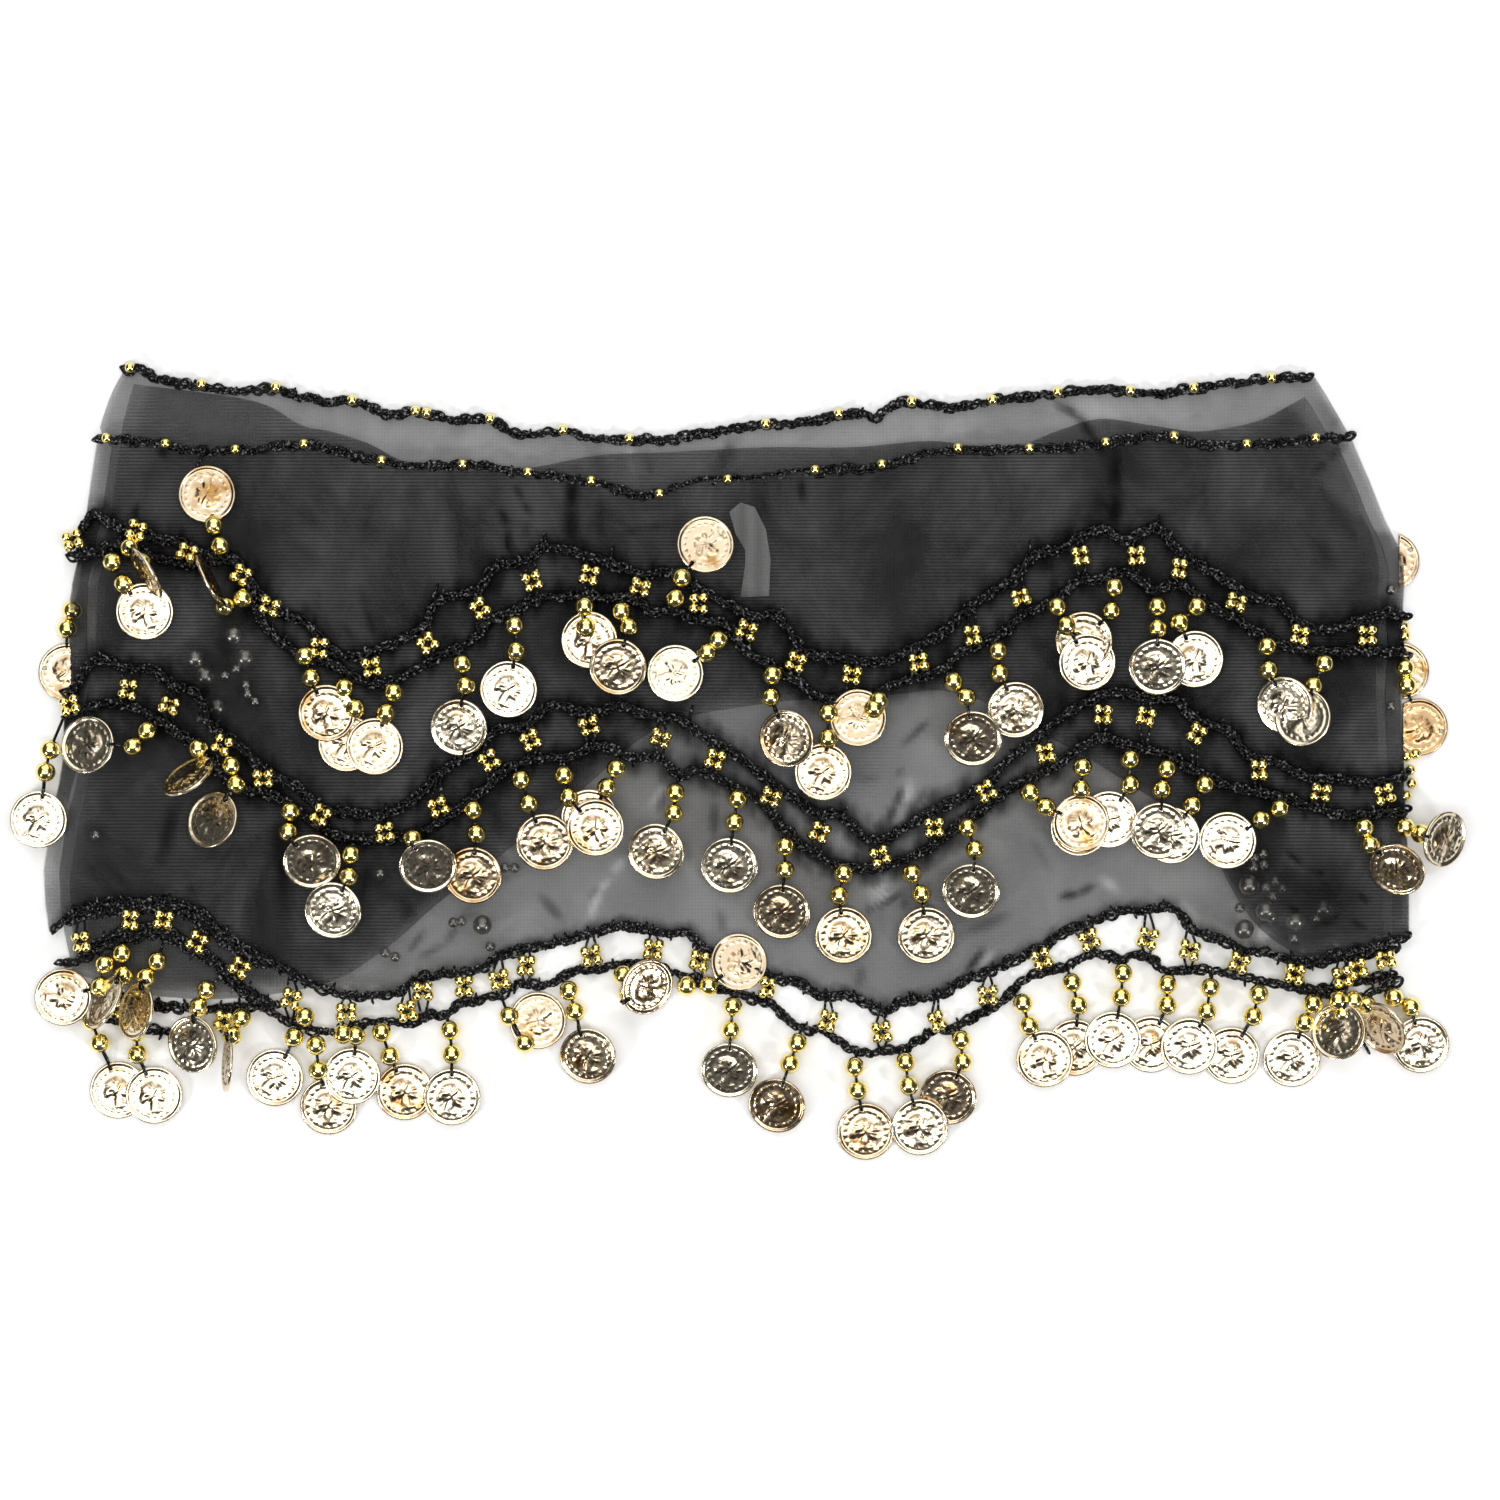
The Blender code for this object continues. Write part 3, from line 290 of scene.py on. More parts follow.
# Soft folds of the front stretch: x0, y0, x1, y1, height, half_width, closer.  Each runs from its first
# to its second end, and "closer" is how much closer the threads lie along it and how much painted shade
# darkens it: below zero the cloth is made more see-through, a painted highlight, and the fold comes out
# pale.
FRONT_FOLDS = (
    # broad swells
    (-28, -48, -62, -84, 2.1, 15, 0), (24, -22, 58, -50, 1.8, 14, 0), (62, -92, 104, -62, 2.1, 14, 0),
    # the pleats that the top cord draws in
    (-71.6, 52.1, -69, 46.8, 1.2, 2.5, 0.8), (-69, 46.8, -66.8, 42.6, 1.2, 2.5, 0.8),
    (-67.4, 40.5, -68.4, 34.2, 1.0, 3.1, 0.6), (-76.3, 44.7, -73.7, 38.4, 1.4, 2.9, 0.9),
    (-73.7, 38.4, -73.7, 30, 1.4, 2.8, 1.0), (-53.2, 55, -53.7, 44, 1.5, 4.4, 1.0),
    (-53.7, 45, -54.2, 33, 1.3, 4.6, 0.9), (-44.7, 48, -44.7, 33, 1.0, 2.8, 0.6),
    (-57.8, 51, -59, 40.5, 0.8, 2.3, -0.35), (-34, 44.6, -23, 45.5, 0.9, 2.6, 0.5),
    (-38.4, 36.3, -31, 38.4, 0.9, 2.3, 0.6), (-31, 38.4, -22.6, 38.9, 0.9, 2.3, 0.6),
    (-14.2, 50, -20.5, 43.7, 0.8, 2.3, -0.3), (-20.5, 43.7, -31, 40.8, 0.8, 2.3, -0.3),
    (18.4, 54.2, 18.9, 46.8, 1.3, 3.0, 0.9), (20, 43, 19, 16.3, 0.8, 3.1, 0.35),
    (117.5, 63, 118, 50, 1.6, 3.8, 1.0), (118, 51, 117, 38, 1.5, 4.2, 1.0),
    (-183, 64, -182, 60.5, 1.0, 3.6, 0.95), (-183.5, 60, -189.5, 47, 0.8, 4.0, 0.4),
    (-190.5, 46, -192, 40, 1.0, 2.6, 1.0), (180, 55.5, 184.5, 59.7, 0.8, 2.3, 0.7),
    (184.5, 59.7, 190, 65, 0.8, 2.2, 0.7),
    (113, 53, 112, 39, 1.0, 5.5, 0.6), (123, 44, 131, 41, 0.8, 3.6, 0.5),
    (95, 37, 97, 35.5, 0.6, 3.4, 0.5), (137, 37.5, 138.5, 34, 0.6, 3.4, 0.5),
    (182.4, 35, 186, 25, 0.8, 5.5, 0.5), (68, 33, 68, 27, 0.6, 3.4, 0.35),
    # above the dips of the first row
    (-131.7, 18.7, -135, 16.4, 0.9, 2.2, 0.55), (-135, 16.4, -132.5, 11.6, 0.9, 2.2, 0.55),
    (-132.5, 11.6, -127.7, 1.4, 1.0, 2.3, 0.6), (-120.6, 21, -119, 14, 0.9, 2.3, 0.5),
    (-119, 14, -114.7, 2.2, 1.1, 2.5, 0.75), (-126, 8.5, -121.4, 1.4, 1.0, 3.1, 0.65),
    (-111, 36, -111, 28, 0.6, 3.0, 0.35),
    # the light part, left of the middle
    (-37.2, -66.1, -41.6, -70.8, 0.9, 2.2, -0.5), (-41.6, -70.8, -44.8, -75.8, 0.9, 2.2, -0.55),
    (-44.8, -75.8, -48, -84, 0.9, 2.2, -0.5), (-40.4, -69.8, -44.8, -74.2, 0.9, 2.2, 0.5),
    (-44.8, -74.2, -48.6, -78.7, 0.9, 2.2, 0.4), (-63.7, -77.1, -56.8, -85.3, 1.2, 3.4, 0.6),
    (-25.3, -43.5, -28.4, -49, 0.8, 2.2, -0.5), (-23.6, -44, -26.4, -51, 0.8, 2.9, 0.6),
    (-8.6, -48, -8.8, -59, 1.1, 3.0, 0.6), (-7, -82, -6, -89, 0.9, 3.2, 0.45),
    # the light part, right of the middle
    (58.7, -22.4, 50.4, -30.3, 0.9, 2.1, 0.75), (50.8, -37, 48.6, -40, 0.8, 2.1, 0.55),
    (50.8, -43.3, 48.4, -48.8, 1.0, 2.5, 0.85), (48.4, -48.8, 45.3, -55.9, 1.0, 2.6, 0.8),
    (52.8, -41.8, 51.6, -48.8, 1.0, 2.6, -0.5), (51.6, -48.8, 48.8, -54.4, 1.0, 2.6, -0.5),
    (36.2, -41.3, 43.3, -40.2, 0.8, 2.5, 0.45), (58.3, -43.3, 55.2, -49.6, 0.9, 2.9, 0.5),
    (47.3, -77.2, 41.7, -79.6, 0.9, 2.1, -0.55), (45.7, -74.1, 40.9, -77.2, 0.8, 2.1, -0.4),
    (50.8, -76.6, 41.7, -81.2, 1.0, 2.5, 0.8), (41.7, -81.2, 38.8, -83, 0.8, 2.5, 0.6),
    (52, -78, 50.5, -82, 0.8, 3.0, 0.6), (100.5, -78, 106.5, -76.9, 1.1, 2.3, 0.9),
    (106.5, -76.9, 110.8, -74.5, 1.0, 2.3, 0.8), (114, -72.5, 118.3, -75.7, 0.9, 2.9, -0.4),
    (91.5, -59.1, 97.8, -71, 0.9, 3.0, 0.35), (76.1, -94.6, 70.9, -101.7, 1.1, 2.5, 0.95),
    (78.4, -95.6, 74, -101.4, 1.0, 2.2, -0.45), (84.3, -83.5, 70.2, -89.5, 1.0, 3.6, 0.5),
    (38.6, -100, 36.2, -106, 0.9, 3.1, 0.5), (83.5, -50.6, 83.5, -52.6, 0.7, 4.2, 0.4),
    # the left side
    (-186.2, -39.2, -194.6, -46.5, 0.9, 2.5, -0.5), (-202.5, -42.3, -207.3, -49.7, 0.8, 2.1, -0.4),
    (-203, -50.7, -209.4, -54.9, 0.8, 2.1, -0.4), (-186.2, -61.3, -188.8, -68.6, 0.9, 2.6, -0.35),
    (-178.8, -48, -183, -67.6, 1.2, 4.4, 0.8), (-159.9, -62.3, -166.2, -69.7, 0.9, 2.5, 0.55),
    (-173.6, -74, -173.6, -77, 0.8, 2.8, 0.8), (-146, -52, -144, -90, 1.3, 6.5, 0.85),
    (-139, -94, -122, -100, 1.0, 6.0, 0.5), (-117.8, -66, -119.9, -80, 1.1, 3.4, 0.8),
    (-107, -76, -104, -86, 1.0, 5.0, 0.55), (-89.4, -86.5, -93.6, -92.9, 0.9, 2.2, 0.6),
    (-93.6, -92.9, -102, -97, 0.9, 2.2, 0.6), (-99.9, -87.6, -105.2, -96, 0.9, 2.2, 0.6),
    (-165, -18, -135, -46, 0.8, 6.5, -0.25), (-196, 8, -186, -6, 0.4, 14, 0.25),
    # the crumpled lower right corner
    (166, -70, 200, -80, 0.5, 20, 0.8), (171, -63.3, 177.5, -69.3, 1.1, 2.9, 1.0),
    (177.5, -69.3, 185, -70.6, 1.0, 2.5, 0.95), (180.5, -73.6, 188, -74.3, 0.8, 2.3, 0.9),
    (175.5, -77.4, 179.5, -75.6, 0.8, 2.2, 0.9), (171.5, -81.5, 175.5, -82, 0.9, 2.8, 1.0),
    (193, -75.5, 198, -80.5, 0.9, 3.1, 0.95), (190, -82, 180, -88, 0.9, 2.3, 0.9),
    (171, -65.5, 176, -69, 0.8, 2.0, -0.5), (162, -91, 165.2, -86.5, 0.9, 2.1, -0.7),
    (163.4, -91.6, 167.5, -87.5, 0.9, 2.1, -0.7), (168, -85.5, 172, -85.5, 0.8, 2.1, -0.5),
    (175, -88, 177.5, -93, 0.9, 2.1, -0.6), (177, -87, 178.6, -89, 0.9, 2.2, -0.5),
    (190.5, -84, 197, -88.5, 0.9, 2.9, 0.8),
)
# Creases of the back stretch, where it shows above the front one: the same columns.  Their height is 0,
# so they are only painted shade and painted highlight, darker or paler cloth with no fold.
BACK_FOLDS = (
    (100.3, 77.4, 106.2, 73.7, 0, 2.5, 0.7), (106.2, 73.7, 110.4, 67.4, 0, 2.6, 0.8),
    (110.4, 67.4, 114.5, 61.6, 0, 2.9, 0.9), (-3.2, 66, -6.8, 57.4, 0, 3.1, 0.6),
    (-34.6, 64, -34.6, 52, 0, 2.5, -0.5), (-31, 62, -28, 54, 0, 2.6, 0.4),
    (-47, 62, -43, 55, 0, 5.0, 0.35), (166, 69, 177, 74, 0, 5.0, 0.45),
    (181, 79, 188, 71, 0, 5.5, 0.4),
)


# ---- plain helpers -------------------------------------------------------------------------------
def smooth_step(low, high, value):
    """Rise smoothly from 0 at low to 1 at high."""
    t = np.clip((np.asarray(value, float) - low) / (high - low), 0.0, 1.0)
    return t * t * (3.0 - 2.0 * t)


def smooth_course(points, step=0.5):
    """A smooth line through the points, at even steps."""
    given = np.array(points, float)
    padded = np.vstack([2 * given[0] - given[1], given, 2 * given[-1] - given[-2]])
    t = np.linspace(0.0, 1.0, 24, endpoint=False)[:, None]
    runs = []
    for a, b, c, d in zip(padded, padded[1:], padded[2:], padded[3:]):
        runs.append(0.5 * (2 * b + (c - a) * t + (2 * a - 5 * b + 4 * c - d) * t**2
                           + (3 * b - a - 3 * c + d) * t**3))
    dense = np.vstack(runs + [given[-1:]])
    return even_steps(dense, step)


def even_steps(line, step):
    """The line again, at even distances along it."""
    lengths = np.concatenate([[0.0], np.cumsum(np.linalg.norm(np.diff(line, axis=0), axis=1))])
    count = max(int(round(lengths[-1] / step)), 1) + 1
    marks = np.linspace(0.0, lengths[-1], count)
    return np.stack([np.interp(marks, lengths, line[:, i]) for i in range(line.shape[1])], axis=1)


SMOOTH_COURSES = {name: smooth_course(points) for name, points in COURSES.items()}
SIDE_TABLE = np.array(SIDES, float)[::-1]


def height_on(course, x):
    """Y of a course at some X."""
    return np.interp(x, course[:, 0], course[:, 1])


def course_height(name, x):
    """The same, of a course that is known by its name."""
    return height_on(SMOOTH_COURSES[name], x)


def side_line(y, side):
    """X of the left or right side fold at some Y."""
    column = 1 if side == "left" else 2
    return np.interp(y, SIDE_TABLE[:, 0], SIDE_TABLE[:, column])


def segment_distance(x, y, x0, y0, x1, y1):
    """Distance from points to a segment, and how far along it the nearest place is."""
    dx, dy = x1 - x0, y1 - y0
    t = np.clip(((x - x0) * dx + (y - y0) * dy) / max(dx * dx + dy * dy, 1e-9), 0.0, 1.0)
    return np.hypot(x - x0 - t * dx, y - y0 - t * dy), t


def outline_distance(x, y, outline):
    """Distance from points to a closed outline: positive outside, negative inside."""
    nearest = np.full(np.shape(x), 1e9)
    inside = np.zeros(np.shape(x), bool)
    for (ax, ay), (bx, by) in zip(outline, np.roll(outline, -1, axis=0)):
        nearest = np.minimum(nearest, segment_distance(x, y, ax, ay, bx, by)[0])
        if ay != by:
            inside ^= ((ay > y) != (by > y)) & (x < (bx - ax) * (y - ay) / (by - ay) + ax)
    return np.where(inside, -nearest, nearest)


def colour(hex_value):
    """Linear colour of an sRGB hex value."""
    parts = [int(hex_value[i:i + 2], 16) / 255.0 for i in (1, 3, 5)]
    return tuple(p / 12.92 if p <= 0.04045 else ((p + 0.055) / 1.055) ** 2.4 for p in parts)


# ---- how high the cloth lies ---------------------------------------------------------------------
CLOTH_WALL = 1.0           # what the solids give each stretch
LAYER_STEP = 1.3           # one stretch above another
FRONT_REST = 2 * LAYER_STEP
REST_CLEARANCE = 0.35      # between a piece and what it lies on
BACK_INSET = 5.0           # how far inside the side folds the back stretch ends
INNER_INSET = 8.0          # and the inner one
INNER_HEM_INSET = 2.0      # how far above the back stretch's hem the inner one ends
DRAPE_START, DRAPE_END = 15.0, 30.0     # where the front stretch falls, past an edge that it lies on
LEAST_LARGE = 5.0          # beads over this diameter are large ones
# The care label's outline: X and Y of its corners.
LABEL_OUTLINE = np.array(((-4, 43.5), (-0.5, 46.5), (4, 45), (7.5, 38), (9, 28.5), (8.5, 17),
                          (-0.5, 16.5), (1, 27), (1, 31.5), (-2, 36.5)), float)


def back_outline():
    """Outline of the back stretch below the front one's top edge."""
    across = np.linspace(-214, 207, 54)
    hem = np.stack([across, course_height("back_hem", across)], axis=1)
    up = np.linspace(-88, 70, 9)
    right = np.stack([side_line(up, "right") - BACK_INSET, up], axis=1)
    left = np.stack([side_line(up[::-1], "left") + BACK_INSET, up[::-1]], axis=1)
    return np.vstack([hem, right, left])


BACK_OUTLINE = back_outline()


def ridge(x, y, x0, y0, x1, y1, half_width):
    """How far up a fold's ridge points are: 1 along its middle, fading to its ends and sides."""
    away, along = segment_distance(x, y, x0, y0, x1, y1)
    fade = 0.35 + 0.65 * np.sin(np.pi * np.clip(along, 0.02, 0.98)) ** 0.6
    return (1.0 - smooth_step(0.0, 1.0, away / half_width)) * fade


def front_rest(x, y):
    """Height of the front stretch's underside over what it lies on."""
    x, y = np.asarray(x, float), np.asarray(y, float)
    on_back = 1.0 - smooth_step(DRAPE_START, DRAPE_END, outline_distance(x, y, BACK_OUTLINE))
    on_label = 1.0 - smooth_step(DRAPE_START, DRAPE_END, outline_distance(x, y, LABEL_OUTLINE))
    return FRONT_REST * on_back + LAYER_STEP * on_label


def front_lift(x, y):
    """How far folds and hidden beads lift the front stretch."""
    lift = np.zeros(np.shape(x))
    for x0, y0, x1, y1, height, half_width, _closeness_and_shade in FRONT_FOLDS:
        lift = np.maximum(lift, height * ridge(x, y, x0, y0, x1, y1, half_width))
    # hidden beads lie on the back stretch; those at the left fold lie on the surface, below the cloth
    lifting = [(bx, by, size + 0.1, 1.25 * size, 0.25) for bx, by, size in HIDDEN_BEADS]
    lifting += [(bx, by, size + 0.5 - FRONT_REST, 1.2 * size, 0.3)
                for bx, by, size in FOLD_BEADS if bx < 0]
    for bx, by, height, reach, flat_share in lifting:
        away = np.hypot(x - bx, y - by) / reach
        lift = np.maximum(lift, height * (1.0 - smooth_step(flat_share, 1.0, away)))
    return lift


def front_top_level(x, y):
    """Height of the front stretch's upper side."""
    return front_rest(x, y) + CLOTH_WALL + front_lift(x, y)


def above_front(x, y, reach):
    """Height that clears the front stretch everywhere within reach of a point."""
    turns = np.arange(8) * math.tau / 8
    xs = np.concatenate([[x], x + reach * np.cos(turns)])
    ys = np.concatenate([[y], y + reach * np.sin(turns)])
    return float(front_top_level(xs, ys).max()) + REST_CLEARANCE


def beside_front(x, y, _reach):
    """Height at the hem, where the trim lies beside the front stretch."""
    return float(front_rest(x, y)) + REST_CLEARANCE


def on_surface(_x, _y, _reach):
    """Height just above the surface that the scarf lies on."""
    return REST_CLEARANCE


# ---- materials ------------------------------------------------------------------------------------
WEAVE_PITCH = 1.1          # real chiffon has a thread each 0.3 mm; drawn wider, its weave shows
GATHERED_COVER = 0.35      # how much more light fully gathered cloth stops
PAINTED_SHADE_TONE = 0.02       # painted shade: what is left of the cloth's colour where it is fully gathered, beside the chains and along dark folds
DEEPER_GOLD = (0.95, 0.86, 0.62)


def feed(tree, node, inputs):
    """Set a node's inputs: values are put in, and sockets are linked."""
    for name, value in inputs.items():
        if isinstance(value, bpy.types.NodeSocket):
            tree.links.new(value, node.inputs[name])
        else:
            node.inputs[name].default_value = value


def add_node(tree, kind, inputs, output, **settings):
    """Add a node with its own settings and its inputs, and give one of its outputs."""
    node = tree.nodes.new(kind)
    for name, value in settings.items():
        setattr(node, name, value)
    feed(tree, node, inputs)
    return node.outputs[output]


def noise(tree, place, scale, detail, **more):
    """A cloudy pattern."""
    return add_node(tree, "ShaderNodeTexNoise",
                    {"Vector": place, "Scale": scale, "Detail": detail, **more}, "Fac")


def attribute(tree, name):
    """A value that the mesh holds at its points."""
    return add_node(tree, "ShaderNodeAttribute", {}, "Fac", attribute_name=name)


def remap(tree, value, low, high, new_low, new_high):
    """A value moved from one range to another."""
    return add_node(tree, "ShaderNodeMapRange", {"Value": value, "From Min": low, "From Max": high,
                                                 "To Min": new_low, "To Max": new_high}, "Result")


def combine(tree, operation, *values):
    """Values put together by one step of arithmetic."""
    return add_node(tree, "ShaderNodeMath", dict(enumerate(values)), 0, operation=operation)


def blend(tree, share, first, second, blend_type="MIX"):
    """A colour between two others; each is a plain colour or a socket."""
    first, second = (c if isinstance(c, bpy.types.NodeSocket) else (*c, 1.0) for c in (first, second))
    return add_node(tree, "ShaderNodeMix", {"Factor": share, 6: first, 7: second}, 2,
                    data_type="RGBA", blend_type=blend_type)


def dent(tree, shader, height, strength, depth):
    """Small dents all over a finish, where a pattern is low."""
    inputs = {"Height": height, "Strength": strength, "Distance": depth}
    feed(tree, shader, {"Normal": add_node(tree, "ShaderNodeBump", inputs, "Normal")})


def new_finish(name, roughness, metallic=0.0):
    """A material, its tree, its shader, and the place that its patterns are drawn by."""
    finish = bpy.data.materials.new(name)
    finish.use_nodes = True
    tree = finish.node_tree
    shader = tree.nodes["Principled BSDF"]
    feed(tree, shader, {"Roughness": roughness, "Metallic": metallic})
    return finish, tree, shader, add_node(tree, "ShaderNodeTexCoord", {}, "Object")


def chiffon_finish(settings):
    """Woven polyester chiffon: sheer crimped threads, black, with a dull sheen and no gloss."""
    finish, tree, shader, place = new_finish("black_polyester_chiffon", 0.75)
    # the bands repeat each tau / 20 of a unit
    weave = {"Vector": place, "Scale": math.tau / 20.0 / (WEAVE_PITCH * MM), "Distortion": 0.8,
             "Detail": 1.0, "Detail Scale": 0.1}
    warp, weft = (add_node(tree, "ShaderNodeTexWave", weave, "Fac", wave_type="BANDS", wave_profile="SIN",
                           bands_direction=direction) for direction in ("X", "Y"))
    slanted = add_node(tree, "ShaderNodeMapping", {"Vector": place, "Rotation": (0.0, 0.0, 0.6),
                                                   "Scale": (1.0, 0.7, 1.0)}, "Vector")
    clouds = noise(tree, slanted, 34.0, 5.0, Roughness=0.62, Distortion=0.4)
    gather = attribute(tree, "gather")
    threads = remap(tree, combine(tree, "ADD", warp, weft), 0.0, 2.0, -0.025, 0.025)
    patches = remap(tree, clouds, 0.3, 0.7, settings.cover - 0.08, settings.cover + 0.08)
    # below zero the gather lets more of the white floor through: a painted highlight along the pale folds
    cover = combine(tree, "MULTIPLY_ADD", gather, GATHERED_COVER, combine(tree, "ADD", threads, patches))
    # painted shade: where the cloth is gathered, its colour darkens to near black, beside the chains and
    # along the dark folds
    tone = combine(tree, "MULTIPLY", remap(tree, clouds, 0.34, 0.66, 0.2, 2.6),
                   remap(tree, gather, 0.0, 1.0, 1.0, PAINTED_SHADE_TONE))
    tone = combine(tree, "MULTIPLY", tone, remap(tree, weft, 0.0, 1.0, 0.6, 1.4))
    feed(tree, shader, {"Base Color": blend(tree, 1.0, settings.cloth_colour, tone, "MULTIPLY"),
                        "Alpha": cover, "Specular IOR Level": 0.04,
                        "Sheen Weight": 0.01, "Sheen Roughness": 0.5})
    dent(tree, shader, clouds, 0.35, 0.004)
    return finish


def thread_finish(settings):
    """Mercerised crochet cotton: plied and black, with painted glints: grey highlight flecks mixed into
    its colour where a fine pattern is high.
    """
    finish, tree, shader, place = new_finish("black_crochet_cotton", 0.24)
    plies = noise(tree, place, 1400.0, 3.0)
    body = blend(tree, 1.0, settings.thread_colour, remap(tree, plies, 0.3, 0.7, 0.5, 1.8), "MULTIPLY")
    # painted highlight: grey flecks in the colour stand for the glints of the plies
    painted_glint = remap(tree, noise(tree, place, 1150.0, 1.0), 0.58, 0.72, 0.0, 1.0)
    feed(tree, shader, {"Base Color": blend(tree, painted_glint, body, settings.painted_glint_colour),
                        "Specular IOR Level": 0.14})
    dent(tree, shader, plies, 0.6, 0.0002)
    return finish


def bead_finish(settings):
    """Gold-plated plastic beads: a thin bright metal coat, smooth, with faint moulding ripples."""
    finish, tree, shader, place = new_finish("gold_plated_bead", 0.08, 1.0)
    ripple = noise(tree, place, 420.0, 2.0)
    deep = tuple(c * f for c, f in zip(settings.bead_colour, DEEPER_GOLD))
    feed(tree, shader, {"Base Color": blend(tree, ripple, deep, settings.bead_colour),
                        "Roughness": remap(tree, ripple, 0.3, 0.7, 0.12, 0.2)})
    dent(tree, shader, ripple, 0.1, 0.0002)
    return finish


def dull_bead_finish(_settings):
    """The same beads under the cloth, which takes their colour and most of their shine."""
    finish, tree, shader, _place = new_finish("gold_bead_under_cloth", 0.3, 1.0)
    feed(tree, shader, {"Base Color": (*colour("#d9d6cc"), 1.0)})
    return finish


def coin_finish(settings):
    """Stamped thin brass, pale gold wash, with random grime; painted shade turns the relief's steep
    sides, the ring inside the rim and the raised dots brown.
    """
    finish, tree, shader, place = new_finish("stamped_gold_washed_brass", 0.3, 1.0)
    grime = noise(tree, place, 650.0, 4.0)
    # random grime, and painted shade from the relief's slopes, ring and dots, pick the brown share of the
    # colour
    grime_and_shade = combine(tree, "MULTIPLY_ADD", grime, 0.5, attribute(tree, "hollow"))
    raised = remap(tree, grime_and_shade, 0.35, 1.5, 1.0, 0.0)
    washed = blend(tree, raised, settings.grime_and_shade_colour, settings.coin_colour)
    patches = remap(tree, noise(tree, place, 95.0, 3.0), 0.56, 0.72, 0.0, 0.6)
    tarnish = combine(tree, "ADD", attribute(tree, "tarnish"), patches)
    feed(tree, shader, {"Base Color": blend(tree, tarnish, washed, settings.tarnish_colour),
                        "Roughness": remap(tree, grime, 0.3, 0.7, 0.15, 0.26)})
    dents = noise(tree, place, 330.0, 1.5)
    dent(tree, shader, combine(tree, "MULTIPLY_ADD", grime, 0.12, dents), 0.4, 0.0005)
    return finish


def label_finish(_settings):
    """Woven polyester satin tape, white: smooth, with fine ribs along it."""
    finish, tree, shader, place = new_finish("white_satin_tape", 0.5)
    ribs = add_node(tree, "ShaderNodeTexWave", {"Vector": place, "Scale": 60.0, "Distortion": 0.6}, "Fac",
                    wave_type="BANDS", bands_direction="X")
    feed(tree, shader, {"Base Color": blend(tree, ribs, colour("#b4b4b2"), colour("#d0d0ce"))})
    dent(tree, shader, ribs, 0.3, 0.0002)
    return finish


FINISH_MAKERS = {"chiffon": chiffon_finish, "thread": thread_finish, "bead": bead_finish,
                 "dull_bead": dull_bead_finish, "coin": coin_finish, "label": label_finish}
finishes = {}


def finish_for(name):
    """The scarf's one material of that name."""
    if name not in finishes:
        finishes[name] = FINISH_MAKERS[name](bpy.context.scene.scarf_looks)
    return finishes[name]


# ---- meshes ----------------------------------------------------------------------------------------
TUBE_TAPER = 0.55          # a thread's thickness at its two ends


class Stock:
    """Points and faces gathered into one mesh, with a value for each point where one is needed."""

    def __init__(self):
        self.points, self.faces, self.values, self.count = [], [], {}, 0

    def add(self, points, faces, **values):
        points = np.asarray(points, float)
        self.points.append(points)
        self.faces += [tuple(int(i) + self.count for i in face) for face in faces]
        for name, value in values.items():
            self.values.setdefault(name, []).append(np.broadcast_to(value, len(points)))
        self.count += len(points)

    def make(self, name, finish, smooth=True):
        """The gathered mesh as an object, its place in its mesh."""
        mesh = bpy.data.meshes.new(name)
        mesh.from_pydata((np.vstack(self.points) * MM).tolist(), [], self.faces)
        for value_name, runs in self.values.items():
            attribute = mesh.attributes.new(value_name, "FLOAT", "POINT")
            attribute.data.foreach_set("value", np.concatenate(runs).astype(np.float32))
        mesh.polygons.foreach_set("use_smooth", [smooth] * len(mesh.polygons))
        mesh.materials.append(finish)
        mesh.update()
        piece = bpy.data.objects.new(name, mesh)
        bpy.context.scene.collection.objects.link(piece)
        return piece


def settle(piece, slot, *nodes):
    """Let a finished piece stand for its nodes and ride on the scarf's one body."""
    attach(piece, "root")
    if nodes:
        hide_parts(*nodes)
    return piece


def settle_trim(node, threads, beads, coins=None):
    """Make a trim's pieces, which stand for its node together."""
    for stock, ending, finish, slot in ((threads, "_crochet", "thread", "thread"),
                                        (beads, "_beads", "bead", "gold_trim"),
                                        (coins, "_coins", "coin", "gold_trim")):
        if stock is not None and stock.count:
            settle(stock.make(node + ending, finish_for(finish)), slot, node)


def pick(piece):
    """Select a piece alone, and make it the active one."""
    bpy.ops.object.select_all(action="DESELECT")
    bpy.context.view_layer.objects.active = piece
    piece.select_set(True)


def tube(line, radius, sides=6):
    """Points and faces of a closed thread along a line."""
    line = np.asarray(line, float)
    points = []
    for i, centre in enumerate(line):
        along = line[min(i + 1, len(line) - 1)] - line[max(i - 1, 0)]
        along = along / max(np.linalg.norm(along), 1e-9)
        guide = np.array((0.0, 0.0, 1.0)) if abs(along[2]) < 0.9 else np.array((0.0, 1.0, 0.0))
        aside = np.cross(along, guide)
        aside /= np.linalg.norm(aside)
        over = np.cross(aside, along)
        size = radius * (TUBE_TAPER if i in (0, len(line) - 1) else 1.0)
        for k in range(sides):
            turn = math.tau * k / sides
            points.append(centre + size * (aside * math.cos(turn) + over * math.sin(turn)))
    faces = []
    for s in range(len(line) - 1):
        for k in range(sides):
            a, b = s * sides + k, s * sides + (k + 1) % sides
            faces.append((a, a + sides, b + sides, b))
    last = (len(line) - 1) * sides
    faces.append(tuple(range(sides)))
    faces.append(tuple(last + k for k in reversed(range(sides))))
    return points, faces


def turned(first, second, angle):
    """Two axes, turned from the first towards the second."""
    cosine, sine = math.cos(angle), math.sin(angle)
    return first * cosine + second * sine, second * cosine - first * sine


